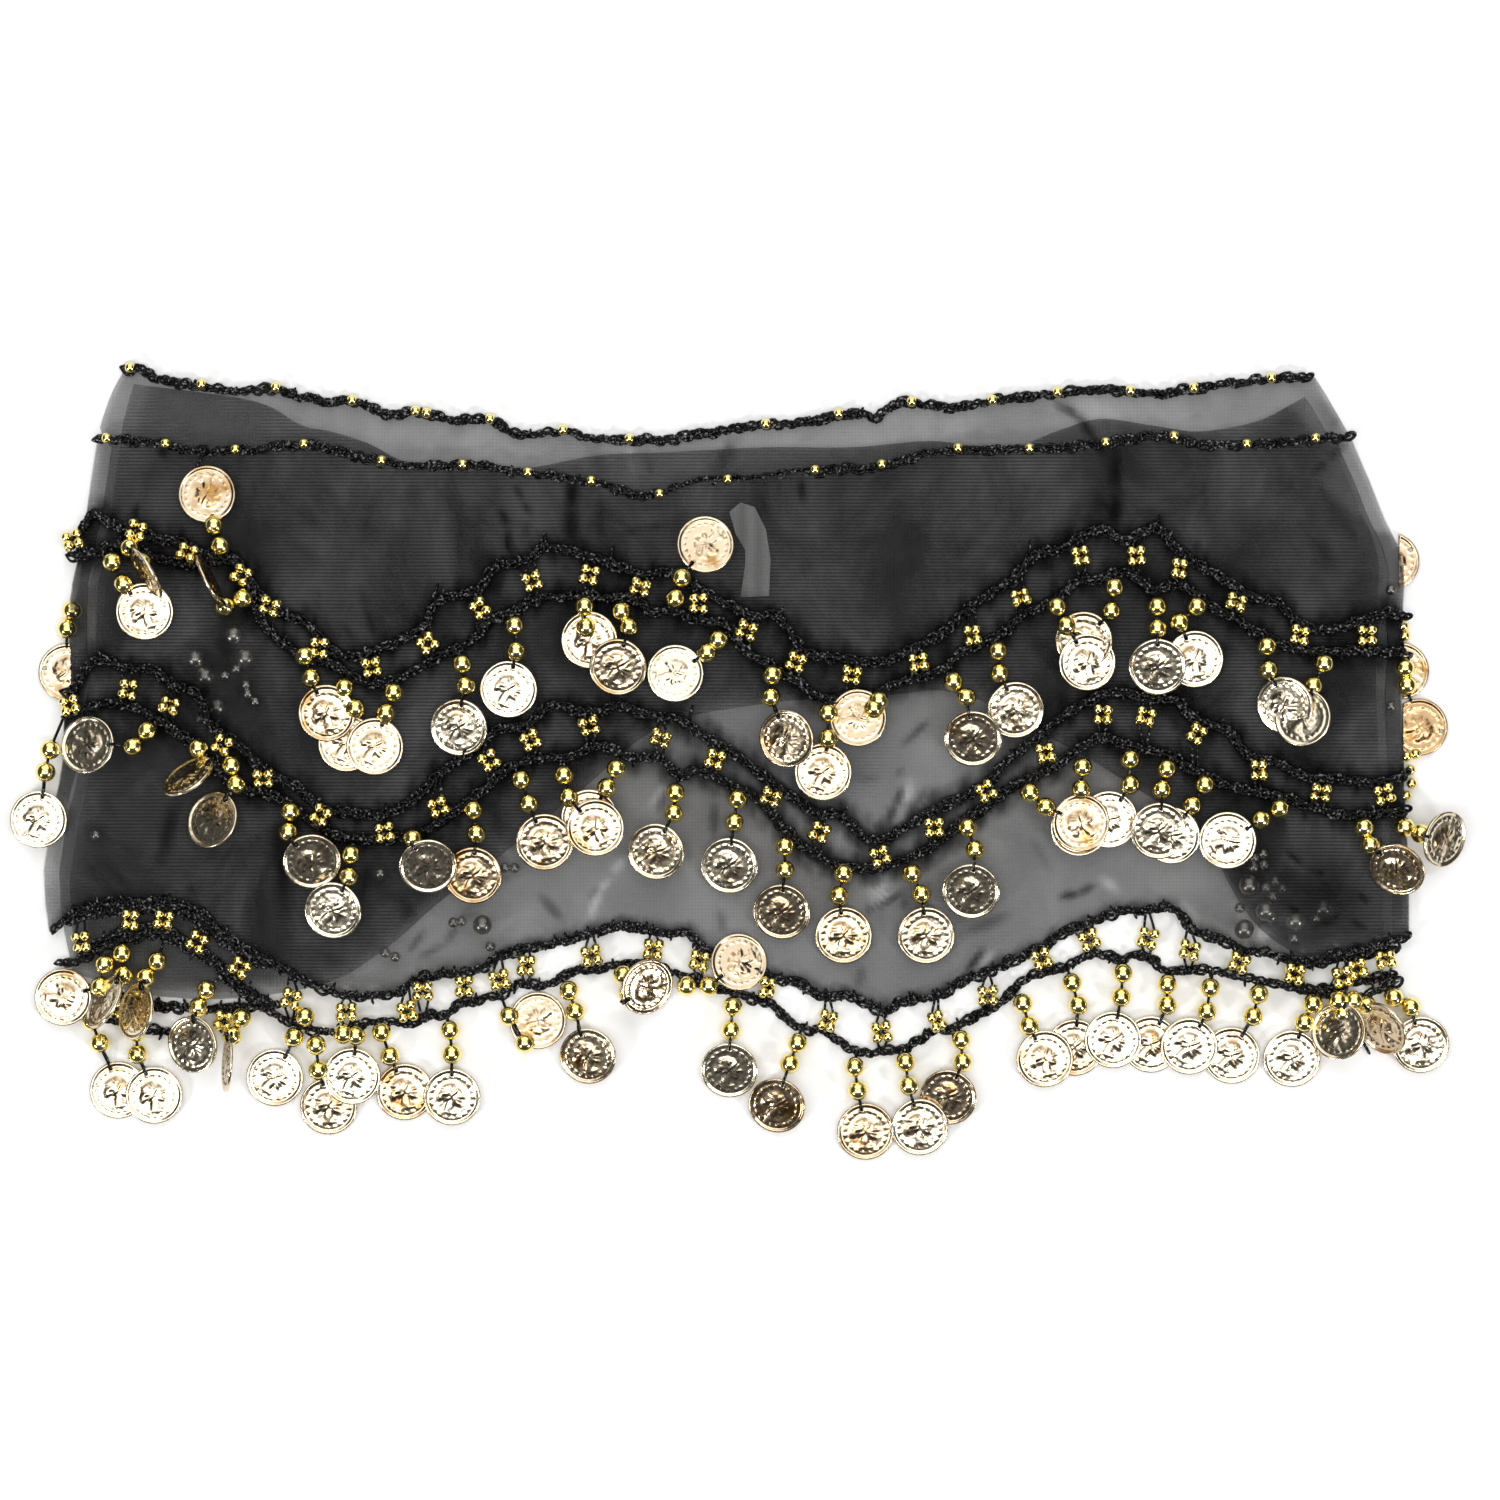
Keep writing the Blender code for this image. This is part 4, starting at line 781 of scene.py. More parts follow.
def lifted(x, y, rest, reach, rise):
    """A place so far above the height that clears what lies under it."""
    place = Vector((x, y, 0.0))
    place.z = rest(place.x, place.y, reach) + rise
    return place


def bent_line(*places, step=0.8):
    """A smooth line through places in space."""
    if len(places) == 2:
        return even_steps(np.array(places, float), step)
    return smooth_course(places, step)


def copies(master, matrices):
    """Points of a master at each place, and the faces of one copy."""
    own = np.array([v.co for v in master.data.vertices]) / MM
    faces = [tuple(p.vertices) for p in master.data.polygons]
    for matrix in matrices:
        grid = np.array(matrix)
        yield own @ grid[:3, :3].T + grid[:3, 3], faces


def place_matrix(centre, x_axis, y_axis, z_axis):
    """A matrix with these axes at a centre."""
    matrix = Matrix.Identity(4)
    for i, axis in enumerate((x_axis, y_axis, z_axis, centre)):
        for j in range(3):
            matrix[j][i] = axis[j]
    return matrix


# ---- masters, modelled once and copied -------------------------------------------------------------
def start_edit(select_mode):
    """Go into edit mode with nothing selected."""
    bpy.ops.object.mode_set(mode="EDIT")
    bpy.ops.mesh.select_mode(type=select_mode)
    bpy.ops.mesh.select_all(action="DESELECT")
    bpy.ops.object.mode_set(mode="OBJECT")


def select_faces(piece, test):
    """Select the faces that pass a test, and go into edit mode."""
    start_edit("FACE")
    for face in piece.data.polygons:
        face.select = bool(test(face))
    bpy.ops.object.mode_set(mode="EDIT")


def fresh_primitive(add, name, **sizes):
    """Add a primitive with nothing else selected."""
    bpy.ops.object.select_all(action="DESELECT")
    add(location=(0.0, 0.0, 0.0), **sizes)
    piece = bpy.context.active_object
    piece.name = name
    return piece


BEAD_RIM, BEAD_HOLE = 0.06, 0.12       # a bead's turned-in rim and its hole's depth, to its diameter
STITCH_PINCH, STITCH_RISE = 0.38, 0.32  # how far a stitch narrows to its foot, and how far it rises


def model_bead(name, diameter, around, along):
    """A round bead with a thread hole along Z, its rims turned in."""
    radius = diameter / 2
    bead = fresh_primitive(bpy.ops.mesh.primitive_uv_sphere_add, name, segments=around, ring_count=along,
                           radius=radius * MM)
    cap = radius * MM * math.cos(math.pi / along) * 0.99
    select_faces(bead, lambda face: abs(face.center.z) > cap * 0.985 or len(face.vertices) == 3)
    bpy.ops.mesh.dissolve_faces()
    bpy.ops.mesh.inset(thickness=BEAD_RIM * diameter * MM, depth=-BEAD_HOLE * diameter * MM)
    bpy.ops.object.mode_set(mode="OBJECT")
    return bead


def model_stitch(name, length, width, thread_radius):
    """One crochet chain stitch: a loop of thread, wide at its head and pinched at its foot."""
    loop = fresh_primitive(bpy.ops.mesh.primitive_torus_add, name, major_segments=12, minor_segments=5,
                           major_radius=width / 2 * MM, minor_radius=thread_radius * MM)
    for vertex in loop.data.vertices:
        x, y, z = vertex.co
        u = x / (width / 2 * MM)
        pinch = 1.0 - STITCH_PINCH * max(-u, 0.0)
        vertex.co = (x * length / width, y * pinch, z + STITCH_RISE * u * MM)
    return loop


# The coin, in parts of its radius: its rings of points, its rim's inner edge and height, the groove
# inside the rim, its ring of dots, and its thread hole.
RIM_RINGS = (1.0, 0.965, 0.925, 0.88, 0.84, 0.79, 0.74, 0.69, 0.62, 0.54, 0.46, 0.38, 0.30, 0.22,
             0.14, 0.07)
RIM_INSIDE, RIM_HEIGHT = 0.9, 0.06
GROOVE_INSIDE = 0.86
DOT_RING, DOT_HEIGHT = 0.74, 0.08
HOLE_PLACE, HOLE_RADIUS = 0.80, 0.075
SPOKES = 60
RELIEF_DEPTH = 0.75        # how deep the stamp went
COIN_BEVEL = 0.12          # in mm
# The coin's head in profile, as domes on its field: middle, half sizes, turn in degrees and height,
# in parts of the coin's radius.
HEAD_DOMES = (
    (0.06, 0.17, 0.35, 0.31, 0, 0.070), (-0.10, 0.03, 0.22, 0.30, 8, 0.062),
    (-0.27, 0.13, 0.07, 0.12, 12, 0.052), (-0.34, 0.00, 0.075, 0.06, 35, 0.050),
    (-0.28, -0.12, 0.07, 0.045, 0, 0.048),
    (-0.21, -0.23, 0.10, 0.07, 20, 0.052), (-0.02, -0.17, 0.20, 0.11, -25, 0.055),
    (0.10, -0.34, 0.15, 0.24, 15, 0.055), (0.10, -0.56, 0.34, 0.10, 8, 0.050),
    (0.40, 0.02, 0.12, 0.13, 0, 0.062),
)


def coin_dots(u, v):
    """Which points of a coin's face are in its ring of dots."""
    spoke = np.round(np.arctan2(u, v) / math.tau * SPOKES).astype(int)
    return (np.abs(np.hypot(u, v) - DOT_RING) < 0.02) & (spoke % 3 == 0)


def coin_relief(u, v):
    """Height of the stamped work on a coin's face, in parts of its radius."""
    away = np.hypot(u, v)
    height = np.zeros(np.shape(u))
    for cu, cv, ru, rv, turn, tall in HEAD_DOMES:
        c, s = math.cos(math.radians(turn)), math.sin(math.radians(turn))
        du, dv = (u - cu) * c + (v - cv) * s, -(u - cu) * s + (v - cv) * c
        dome = np.clip(1.0 - (du / ru) ** 2 - (dv / rv) ** 2, 0.0, 1.0)
        height = np.maximum(height, tall * dome ** 0.45)
    hair = np.clip(1.0 - ((u - 0.10) / 0.36) ** 2 - ((v - 0.20) / 0.31) ** 2, 0.0, 1.0)
    hair = hair * (u > -0.18 - 0.3 * v)
    waves = np.sin(34.0 * (v * 0.8 + 0.35 * u + 0.06 * np.sin(9.0 * u)))
    height = height + 0.016 * waves * np.clip(hair * 3.0, 0.0, 1.0)
    height = np.where(coin_dots(u, v), DOT_HEIGHT, height)
    return RELIEF_DEPTH * np.where(away > RIM_INSIDE, RIM_HEIGHT, height)


def model_coin(name, radius, thickness):
    """A stamped coin, face up along Z, with its thread hole near the rim at +Y."""
    coin = fresh_primitive(bpy.ops.mesh.primitive_circle_add, name, vertices=SPOKES,
                           radius=radius * MM, fill_type="NGON")
    select_faces(coin, lambda face: True)
    for outer, inner in zip(RIM_RINGS, RIM_RINGS[1:]):
        bpy.ops.mesh.inset(thickness=(outer - inner) * radius * math.cos(math.pi / SPOKES) * MM)
    bpy.ops.mesh.poke()
    bpy.ops.object.mode_set(mode="OBJECT")
    flat = np.array([v.co for v in coin.data.vertices])
    u, v = flat[:, 0] / (radius * MM), flat[:, 1] / (radius * MM)
    relief = coin_relief(u, v) * radius
    # painted shade: the value below darkens the relief's steep sides, a ring just inside the rim and the
    # raised dots; it is not the depth of a hollow
    step = 0.012                    # over which the relief's slope is taken
    slope = np.hypot(coin_relief(u + step, v) - coin_relief(u - step, v),
                     coin_relief(u, v + step) - coin_relief(u, v - step)) / (2 * step)
    away = np.hypot(u, v)
    slope = np.where(away > 0.98, 0.0, slope)
    slope = np.where((away > GROOVE_INSIDE) & (away < RIM_INSIDE), 0.2, slope)
    slope = np.where(coin_dots(u, v), 1.0, slope)
    for vertex, high in zip(coin.data.vertices, relief):
        edge = COIN_BEVEL if math.hypot(vertex.co.x, vertex.co.y) > 0.99 * radius * MM else 0.0
        vertex.co.z = (thickness / 2 - 0.03 * radius + high - edge) * MM
    hollow = coin.data.attributes.new("hollow", "FLOAT", "POINT")
    hollow.data.foreach_set("value", smooth_step(0.06, 0.5, slope).astype(np.float32))
    start_edit("EDGE")
    bpy.ops.object.mode_set(mode="EDIT")
    bpy.ops.mesh.select_all(action="SELECT")
    bpy.ops.mesh.region_to_loop()
    drop = (thickness - 2 * COIN_BEVEL) * MM
    bpy.ops.mesh.extrude_region_move(TRANSFORM_OT_translate={"value": (0.0, 0.0, -drop)})
    bpy.ops.mesh.edge_face_add()
    bpy.ops.mesh.inset(thickness=0.04 * radius * MM, depth=COIN_BEVEL * MM)
    bpy.ops.mesh.select_all(action="SELECT")
    bpy.ops.mesh.normals_make_consistent(inside=False)
    bpy.ops.object.mode_set(mode="OBJECT")
    pin = fresh_primitive(bpy.ops.mesh.primitive_cylinder_add, "hole_cutter", vertices=10,
                          radius=HOLE_RADIUS * radius * MM, depth=4 * thickness * MM)
    pin.data.transform(Matrix.Translation((0.0, HOLE_PLACE * radius * MM, 0.0)))
    cut = coin.modifiers.new("hole", "BOOLEAN")
    cut.operation, cut.solver, cut.object = "DIFFERENCE", "EXACT", pin
    pick(coin)
    bpy.ops.object.modifier_apply(modifier="hole")
    bpy.data.objects.remove(pin)
    return coin


masters = {}


def master(name):
    """A modelled master, made when it is first needed."""
    if name not in masters:
        sizes = bpy.context.scene.scarf_sizes
        if name == "large_bead":
            masters[name] = model_bead(name, sizes.bead_diameter / MM, 20, 12)
        elif name == "small_bead":
            masters[name] = model_bead(name, sizes.small_bead_diameter / MM, 12, 8)
        elif name == "stitch":
            masters[name] = model_stitch(name, STITCH_LENGTH, STITCH_WIDTH, STITCH_THREAD)
        else:
            masters[name] = model_coin(name, sizes.coin_diameter / 2 / MM, sizes.coin_thickness / MM)
    return masters[name]


def clear_masters():
    """Take the masters away once everything is copied."""
    for piece in masters.values():
        mesh = piece.data
        bpy.data.objects.remove(piece)
        bpy.data.meshes.remove(mesh)
    masters.clear()


# ---- cloth -----------------------------------------------------------------------------------------
CLOTH_THICKNESS = 0.3      # thin chiffon, and thick enough to be a closed shell
FRONT_CLOSER = 0.14        # how much closer the front stretch's threads lie than the back one's
INNER_CLOSER = 0.15        # and the inner stretch's
LOOSEST = -0.9             # the gather where the threads are too loose to show
FOLD_RADIUS = 2.4          # of the front stretch's side folds
FLAT_INSET = 4.0           # how far inside a side fold the flat part starts
TUCK_GAP = 0.15            # between the tucked edge and the surface
INNER_TOP_INSET = 1.5      # how far below its measured top edge the inner stretch starts
FRONT_GRID, BACK_GRID, INNER_GRID = (300, 122), (150, 64), (120, 48)    # columns across, rows down
LABEL_RISE, LABEL_WALL = 0.1, 0.45
# How far the crochet of each row gathers the cloth right beside it, which also paints a near-black band
# of shade along its chains, and how far off that reaches.
GATHERED_AND_SHADED_ROWS = ((1, 1.0, 9.0), (2, 1.0, 9.0), (3, 0.7, 5.5))


def lay_sheet(node, x, y, z, gather):
    """A stretch of thin cloth from grids of its upper points: columns across, rows down."""
    columns, rows = x.shape
    stock = Stock()
    points = np.stack([x, y, z], axis=2).reshape(-1, 3)
    faces = [(c * rows + r, c * rows + r + 1, (c + 1) * rows + r + 1, (c + 1) * rows + r)
             for c in range(columns - 1) for r in range(rows - 1)]
    stock.add(points, faces, gather=gather.reshape(-1))
    piece = stock.make(node + "_chiffon", finish_for("chiffon"))
    wall = piece.modifiers.new("wall", "SOLIDIFY")
    wall.thickness = CLOTH_THICKNESS * MM
    wall.offset = -1.0
    pick(piece)
    bpy.ops.object.modifier_apply(modifier="wall")
    return settle(piece, "chiffon", node)


def grid_steps(grid):
    """Shares of the way across, one in each row of a column, and of the way down."""
    return np.linspace(0.0, 1.0, grid[0])[:, None], np.linspace(0.0, 1.0, grid[1])


def soft_edges(x, y, hem, side_inset):
    """Looser threads near a hidden stretch's sides and hem, as gather below zero."""
    inside = np.minimum(x - side_line(y, "left"), side_line(y, "right") - x) - side_inset
    from_side = 0.6 * (1.0 - smooth_step(0.0, 6.0, inside))
    from_hem = 1.0 - smooth_step(0.0, 5.0, y - hem)
    return LOOSEST * np.maximum(np.maximum(from_side, from_hem), bare_corner(x, y))


def bare_corner(x, y):
    """How far the hidden stretches fall short of the upper corners: 1 where they are missing."""
    below_top = 1.0 - smooth_step(64.0, 67.0, y)
    left = np.maximum(0.24 * (1.0 - smooth_step(-192.0, -186.0, x)), 1.0 - smooth_step(-201.5, -198.5, x))
    left = left * smooth_step(42.0, 47.0, y) * below_top
    edge = np.interp(x, (180.5, 186, 191, 197, 204, 210), (54, 48, 43, 39, 36.5, 34))
    crossing = 55.5 + (x - 180.0)
    right = smooth_step(-3.0, 4.0, y - edge) * (1.0 - smooth_step(-1.0, 2.0, y - crossing)) * (x > 175.0)
    patch = ridge(x, y, 183.5, 63, 188, 67.5, 4.2)
    return np.maximum(left, np.maximum(right, np.minimum(1.0, 1.6 * patch)))


def bare_lip(x, y):
    """Where the tucked edge of the front stretch is too loose to show."""
    left = np.maximum(smooth_step(41.0, 46.0, y), 1.0 - smooth_step(-50.0, -44.0, y))
    right = np.maximum(smooth_step(34.0, 39.0, y), 0.45 * smooth_step(10.0, 14.0, y))
    return np.where(x < 0, left, right)


def crease(gather, x, y, folds):
    """The gather again, closer along the dark folds, with painted shade, and lower along the pale folds,
    a painted highlight; the pale folds lie over the dark ones.
    """
    painted_highlight = np.zeros(x.shape)
    for x0, y0, x1, y1, _height, half_width, closeness_and_shade in folds:
        along = closeness_and_shade * ridge(x, y, x0, y0, x1, y1, half_width)
        gather, painted_highlight = np.maximum(gather, along), np.minimum(painted_highlight, along)
    return gather + painted_highlight


def front_gather(x, y):
    """How much closer the threads lie, from the crochet that draws them in and from the folds; this also
    paints shade, a dark band beside the chains and along the dark folds, and pale highlight along the
    pale folds.
    """
    uneven = 0.64 + 0.22 * np.sin(0.61 * x + 0.23 * y) + 0.14 * np.sin(1.37 * x - 0.41 * y + 1.0)
    gather = np.full(x.shape, FRONT_CLOSER)
    for row, drawn_in_and_shade, reach in GATHERED_AND_SHADED_ROWS:
        chains = np.vstack([SMOOTH_COURSES[f"row_{row}_{side}"][::6] for side in ("upper", "lower")])
        near = np.array([np.hypot(chains[:, 0] - px, chains[:, 1] - py).min()
                         for px, py in zip(x.flat, y.flat)]).reshape(x.shape)
        close = np.maximum(uneven, 1.0 - smooth_step(1.0, 0.5 * reach, near))
        gather = np.maximum(gather, drawn_in_and_shade * close * (1.0 - smooth_step(0.2 * reach, reach, near)))
    return crease(gather, x, y, FRONT_FOLDS)


def build_front_stretch():
    """The top stretch: side folds that roll under, soft folds, and lifts over hidden beads."""
    across, down = grid_steps(FRONT_GRID)
    turns = np.linspace(0.0, math.pi, 8)
    insets = np.append(FOLD_RADIUS - FOLD_RADIUS * np.sin(turns), BACK_INSET)[:, None]
    rolled = np.append(np.cos(turns), -1.0)
    level = np.linspace(67.0, -90.0, len(down))
    left, right = side_line(level, "left"), side_line(level, "right")
    flat = left + FLAT_INSET + (right - left - 2 * FLAT_INSET) * across
    x = np.vstack([left + insets[::-1], flat, right - insets])
    top, hem = course_height("front_top", x), course_height("row_3_upper", x)
    y = top + (hem - top) * down
    # 1 faces up, and -1 lies under
    facing = np.concatenate([rolled[::-1], np.ones(len(flat)), rolled])[:, None]
    high, low = front_top_level(x, y), TUCK_GAP + CLOTH_THICKNESS
    z = (high + low) / 2 + (high - low) / 2 * facing
    gather = front_gather(x, y)
    tucked = 1 + len(turns) // 2
    for side in (slice(0, tucked), slice(len(x) - tucked, len(x))):
        bare = bare_lip(x[side], y[side])
        gather[side] = gather[side] * (1.0 - bare) + LOOSEST * bare
    return lay_sheet("front_stretch", x, y, z, gather)


def build_back_stretch():
    """The middle stretch: on the inner one, and down on the surface above that one's top edge."""
    across, down = grid_steps(BACK_GRID)
    y = np.linspace(88.0, -95.0, len(down))
    for _settling in range(3):
        inset = BACK_INSET * (1.0 - smooth_step(65.0, 68.5, y))
        left, right = side_line(y, "left") + inset, side_line(y, "right") - inset
        x = left + (right - left) * across
        top, hem = course_height("back_top", x), course_height("back_hem", x)
        y = top + (hem - top) * down
    over = 1.0 - smooth_step(-0.5, 1.8, y - course_height("inner_top", x))
    gather = crease(soft_edges(x, y, hem, BACK_INSET), x, y, BACK_FOLDS)
    return lay_sheet("back_stretch", x, y, CLOTH_WALL + LAYER_STEP * over, gather)


def build_inner_stretch():
    """The lowest stretch, flat on the surface."""
    across, down = grid_steps(INNER_GRID)
    level = np.linspace(78.0, -95.0, len(down))
    left, right = side_line(level, "left") + INNER_INSET, side_line(level, "right") - INNER_INSET
    x = left + (right - left) * across
    top = course_height("inner_top", x) - INNER_TOP_INSET
    hem = course_height("back_hem", x) + INNER_HEM_INSET
    y = top + (hem - top) * down
    gather = soft_edges(x, y, hem, INNER_INSET) + INNER_CLOSER
    return lay_sheet("inner_stretch", x, y, np.full(x.shape, CLOTH_WALL), gather)


def build_label():
    """The blank care label: a strip of tape folded flat, between the back and the front stretch."""
    stock = Stock()
    low = FRONT_REST + LABEL_RISE
    high = FRONT_REST + LABEL_RISE + LABEL_WALL
    count = len(LABEL_OUTLINE)
    top = [(x, y, high) for x, y in LABEL_OUTLINE]
    bottom = [(x, y, low) for x, y in LABEL_OUTLINE]
    faces = [tuple(reversed(range(count))), tuple(range(count, 2 * count))]
    faces += [(k, (k + 1) % count, (k + 1) % count + count, k + count) for k in range(count)]
    stock.add(top + bottom, faces)
    piece = stock.make("care_label_tape", finish_for("label"), smooth=False)
    return settle(piece, "label", "care_label")


# The cut of what shows of each stretch: its maker, the width and depth of the rectangle round it, in
# metres, the area inside its top edge, side folds and scalloped hem, in square metres, and the
# solids that it lies on.
STRETCH_CUTS = (
    (build_inner_stretch, 0.415, 0.186, 0.0477, []),
    (build_back_stretch, 0.421, 0.198, 0.0556, ["inner_stretch"]),
    (build_front_stretch, 0.431, 0.182, 0.0657, ["back_stretch"]),
)


# ---- chains, flowers and danglers ------------------------------------------------------------------
STITCH_PITCH = 2.1         # from one stitch of a chain to the next
STITCH_LENGTH, STITCH_WIDTH = 3.3, 2.3
STITCH_THREAD = 0.5        # the thread's radius in a stitch
SMALL_THREAD = 0.46        # the thread's radius where it links beads
CORE_THREAD = 0.5          # the drawn-up loops inside a chain
DANGLER_THREAD = 0.48
STACK_STEP = 1.4           # from one coin to the next above it
STITCH_SWING, STITCH_ROLL, ROLL_SPREAD = 28, 24, 18     # degrees
CHAIN_REACH, FLOWER_REACH, BEAD_REACH = 1.5, 2.5, 3.0   # within which each clears the cloth
CHAIN_RISE, FLOWER_RISE = 1.3, 1.6                      # their middles, over that height
THREAD_RISE = 1.0          # where a thread leaves a chain, over it
PICOT_RISE = 1.6
CORD_BEAD_RISE, CORD_THREAD_RISE = 2.6, 1.2             # a top cord's beads and their threads' ends
TRIM_DROPS = (2.9, 11.0)   # the two chains of a hidden trim, below their stretch's hem
FLOWER_SPREAD = 1.7        # from a flower's middle to its beads
MOST_TUMBLE = 50           # degrees


def chain_line(course, rest):
    """A chain's middle line in space, at even steps of a stitch."""
    flat = even_steps(course, STITCH_PITCH)
    z = [rest(x, y, CHAIN_REACH) + CHAIN_RISE for x, y in flat]
    return np.column_stack([flat, z])


def add_chain(stock, line, dice, fuzz=2.4, spacing=4.5):
    """Crochet a chain along a line: a loop for each stitch, each drawn through the last."""
    places = []
    stock.add(*tube(even_steps(line, 1.6), CORE_THREAD, 6))
    for i in range(len(line) - 1):
        a, b = Vector(line[i]), Vector(line[i + 1])
        swing = Matrix.Rotation(math.radians(dice.uniform(-STITCH_SWING, STITCH_SWING)), 3, "Z")
        along = (swing @ (b - a)).normalized()
        aside = UP.cross(along).normalized()
        roll = math.radians(STITCH_ROLL * (-1) ** i + dice.uniform(-ROLL_SPREAD, ROLL_SPREAD))
        aside, over = turned(aside, along.cross(aside), roll)
        middle = (a + b) / 2 + aside * dice.uniform(-0.6, 0.6)
        size = dice.uniform(0.8, 1.25)
        places.append(place_matrix(middle, along * size, aside * size, over))
    for points, faces in copies(master("stitch"), places):
        points[:, 2] = np.maximum(points[:, 2], 0.05)
        stock.add(points, faces)
    spot = dice.uniform(2, 5)
    while spot < len(line) - 2:
        root = Vector(line[int(spot)])
        lean, reach = dice.uniform(-1.3, 1.3), dice.uniform(0.7, 1.3) * fuzz * dice.choice((1, 1, -1))
        tip = root + Vector((lean, reach, dice.uniform(0.2, 0.9)))
        stock.add(*tube(bent_line(root, (root + tip) / 2 + UP * 0.4, tip, step=0.7), 0.5, 5))
        spot += dice.uniform(0.55, 1.45) * spacing


def add_beads(stock, kind, places):
    """Beads at places: centre and the way of the thread through each."""
    matrices = []
    for centre, along in places:
        along = Vector(along).normalized()
        aside = UP.cross(along)
        aside = aside.normalized() if aside.length > 0.1 else RIGHT
        matrices.append(place_matrix(Vector(centre), aside, along.cross(aside), along))
    for points, faces in copies(master(kind), matrices):
        stock.add(points, faces)


def add_flower(beads, threads, upper, lower, x, y, rest, dice):
    """Four small beads in a square, on two crossing threads between the chains."""
    spread = FLOWER_SPREAD
    slope = (height_on(upper, x + 3) - height_on(upper, x - 3)
             + height_on(lower, x + 3) - height_on(lower, x - 3)) / 12.0
    turn = math.atan(slope) * 0.6 + math.radians(dice.uniform(-14, 14))
    u, v = (axis * spread * dice.uniform(0.98, 1.05) for axis in turned(RIGHT, AHEAD, turn))
    tumble = math.radians(dice.uniform(-MOST_TUMBLE, MOST_TUMBLE))
    if dice.random() < 0.5:
        u = turned(u, UP * spread, tumble)[0]
    else:
        v = turned(v, UP * spread, tumble)[0]
    centre = lifted(x, y, rest, FLOWER_REACH, FLOWER_RISE + spread * abs(math.sin(tumble)))
    places = []
    for a, b in ((-1, 1), (1, 1), (1, -1), (-1, -1)):
        jog = u * dice.uniform(-0.08, 0.08) + v * dice.uniform(-0.08, 0.08)
        spot = centre + u * a + v * b + jog + UP * dice.uniform(0.0, 0.4)
        places.append((spot, (v * b + u * a * 0.5)))
    add_beads(beads, "small_bead", places)
    for side, top_bead, low_bead in ((-1, 0, 2), (1, 1, 3)):
        start, end = (lifted(chain_x, height_on(chain, chain_x), rest, CHAIN_REACH, THREAD_RISE)
                      for chain, chain_x in ((upper, x + side * 0.45), (lower, x - side * 0.45)))
        line = bent_line(start, places[top_bead][0], centre + UP * 0.25 * side, places[low_bead][0],
                         end, step=0.9)
        threads.add(*tube(line, SMALL_THREAD, 5))


placed_coins = []          # (middle, level) of each coin laid so far


def free_level(middle, diameter):
    """The lowest level that no coin under or over this one has."""
    taken = {level for other, level in placed_coins if (other - middle).length < diameter}
    return min(set(range(len(taken) + 1)) - taken)


def add_coin(coins, matrix, tarnish):
    """One copy of the coin."""
    model = master("coin")
    # each copy takes the master's painted shade on its relief's slopes, ring and dots
    hollow = np.zeros(len(model.data.vertices), np.float32)
    model.data.attributes["hollow"].data.foreach_get("value", hollow)
    for points, faces in copies(model, [matrix]):
        coins.add(points, faces, hollow=hollow, tarnish=tarnish)


def nearest_on(names, x, y):
    """The nearest place on some chains."""
    lines = np.vstack([SMOOTH_COURSES[name] if isinstance(name, str) else name for name in names])
    return lines[np.argmin(np.hypot(lines[:, 0] - x, lines[:, 1] - y))]


def add_dangler(beads, coins, threads, spec, rest, dice, chains):
    """A dangler: its thread from a chain through two beads and the hole in its coin."""
    sizes = bpy.context.scene.scarf_sizes
    b1x, b1y, b2x, b2y, cx, cy, lean, pitch = spec
    bead_radius, coin_radius = sizes.bead_diameter / 2 / MM, sizes.coin_diameter / 2 / MM
    half_wall = sizes.coin_thickness / 2 / MM
    first, second = (lifted(x, y, rest, BEAD_REACH, bead_radius) for x, y in ((b1x, b1y), (b2x, b2y)))
    coin = Vector((cx, cy, 0.0))
    level = free_level(coin, 2 * coin_radius)
    placed_coins.append((coin.copy(), level))
    along = (second - first).normalized()
    onward = Vector((coin.x - second.x, coin.y - second.y, 0.0)).normalized()
    aside = UP.cross(onward)
    tilt, tip = math.radians(lean), math.radians(pitch)
    across, over = turned(aside, UP, tilt)
    back, over = turned(-onward, over, tip)
    raised = coin_radius * (abs(math.sin(tilt)) + abs(math.sin(tip))) + half_wall
    coin.z = rest(coin.x, coin.y, coin_radius * 0.9) + STACK_STEP * level + raised
    add_coin(coins, place_matrix(coin, -across, back, over), dice.uniform(0.0, 0.7) ** 1.5)
    add_beads(beads, "large_bead", [(first, along), (second, (onward + along) / 2)])
    root_x, root_y = nearest_on(chains, b1x, b1y)
    root = Vector((root_x, root_y, rest(root_x, root_y, CHAIN_REACH) + THREAD_RISE))
    hole = coin + back * coin_radius * HOLE_PLACE
    rim = coin + back * coin_radius * 1.05
    lines = [bent_line(root, first, (first + second) / 2, second),
             bent_line(second, second + onward * bead_radius * 0.9, rim + over * 0.9, hole + over * 0.7,
                       hole - over * 0.6, step=0.6),
             bent_line(second, rim - over * 0.6, hole - over * 0.8, step=0.9)]
    for line in lines:
        line[:, 2] = np.maximum(line[:, 2], DANGLER_THREAD + 0.1)
        threads.add(*tube(line, DANGLER_THREAD))


def doubled_chains():
    """Where row 3 is crocheted double, at its left end: courses just inside its two chains."""
    for name, first_x, last_x, aside in (("row_3_upper", -213, -150, -2.6),
                                         ("row_3_lower", -205, -146, 2.4)):
        course = SMOOTH_COURSES[name]
        part = course[(course[:, 0] > first_x) & (course[:, 0] < last_x)]
        yield part + (0.0, aside)


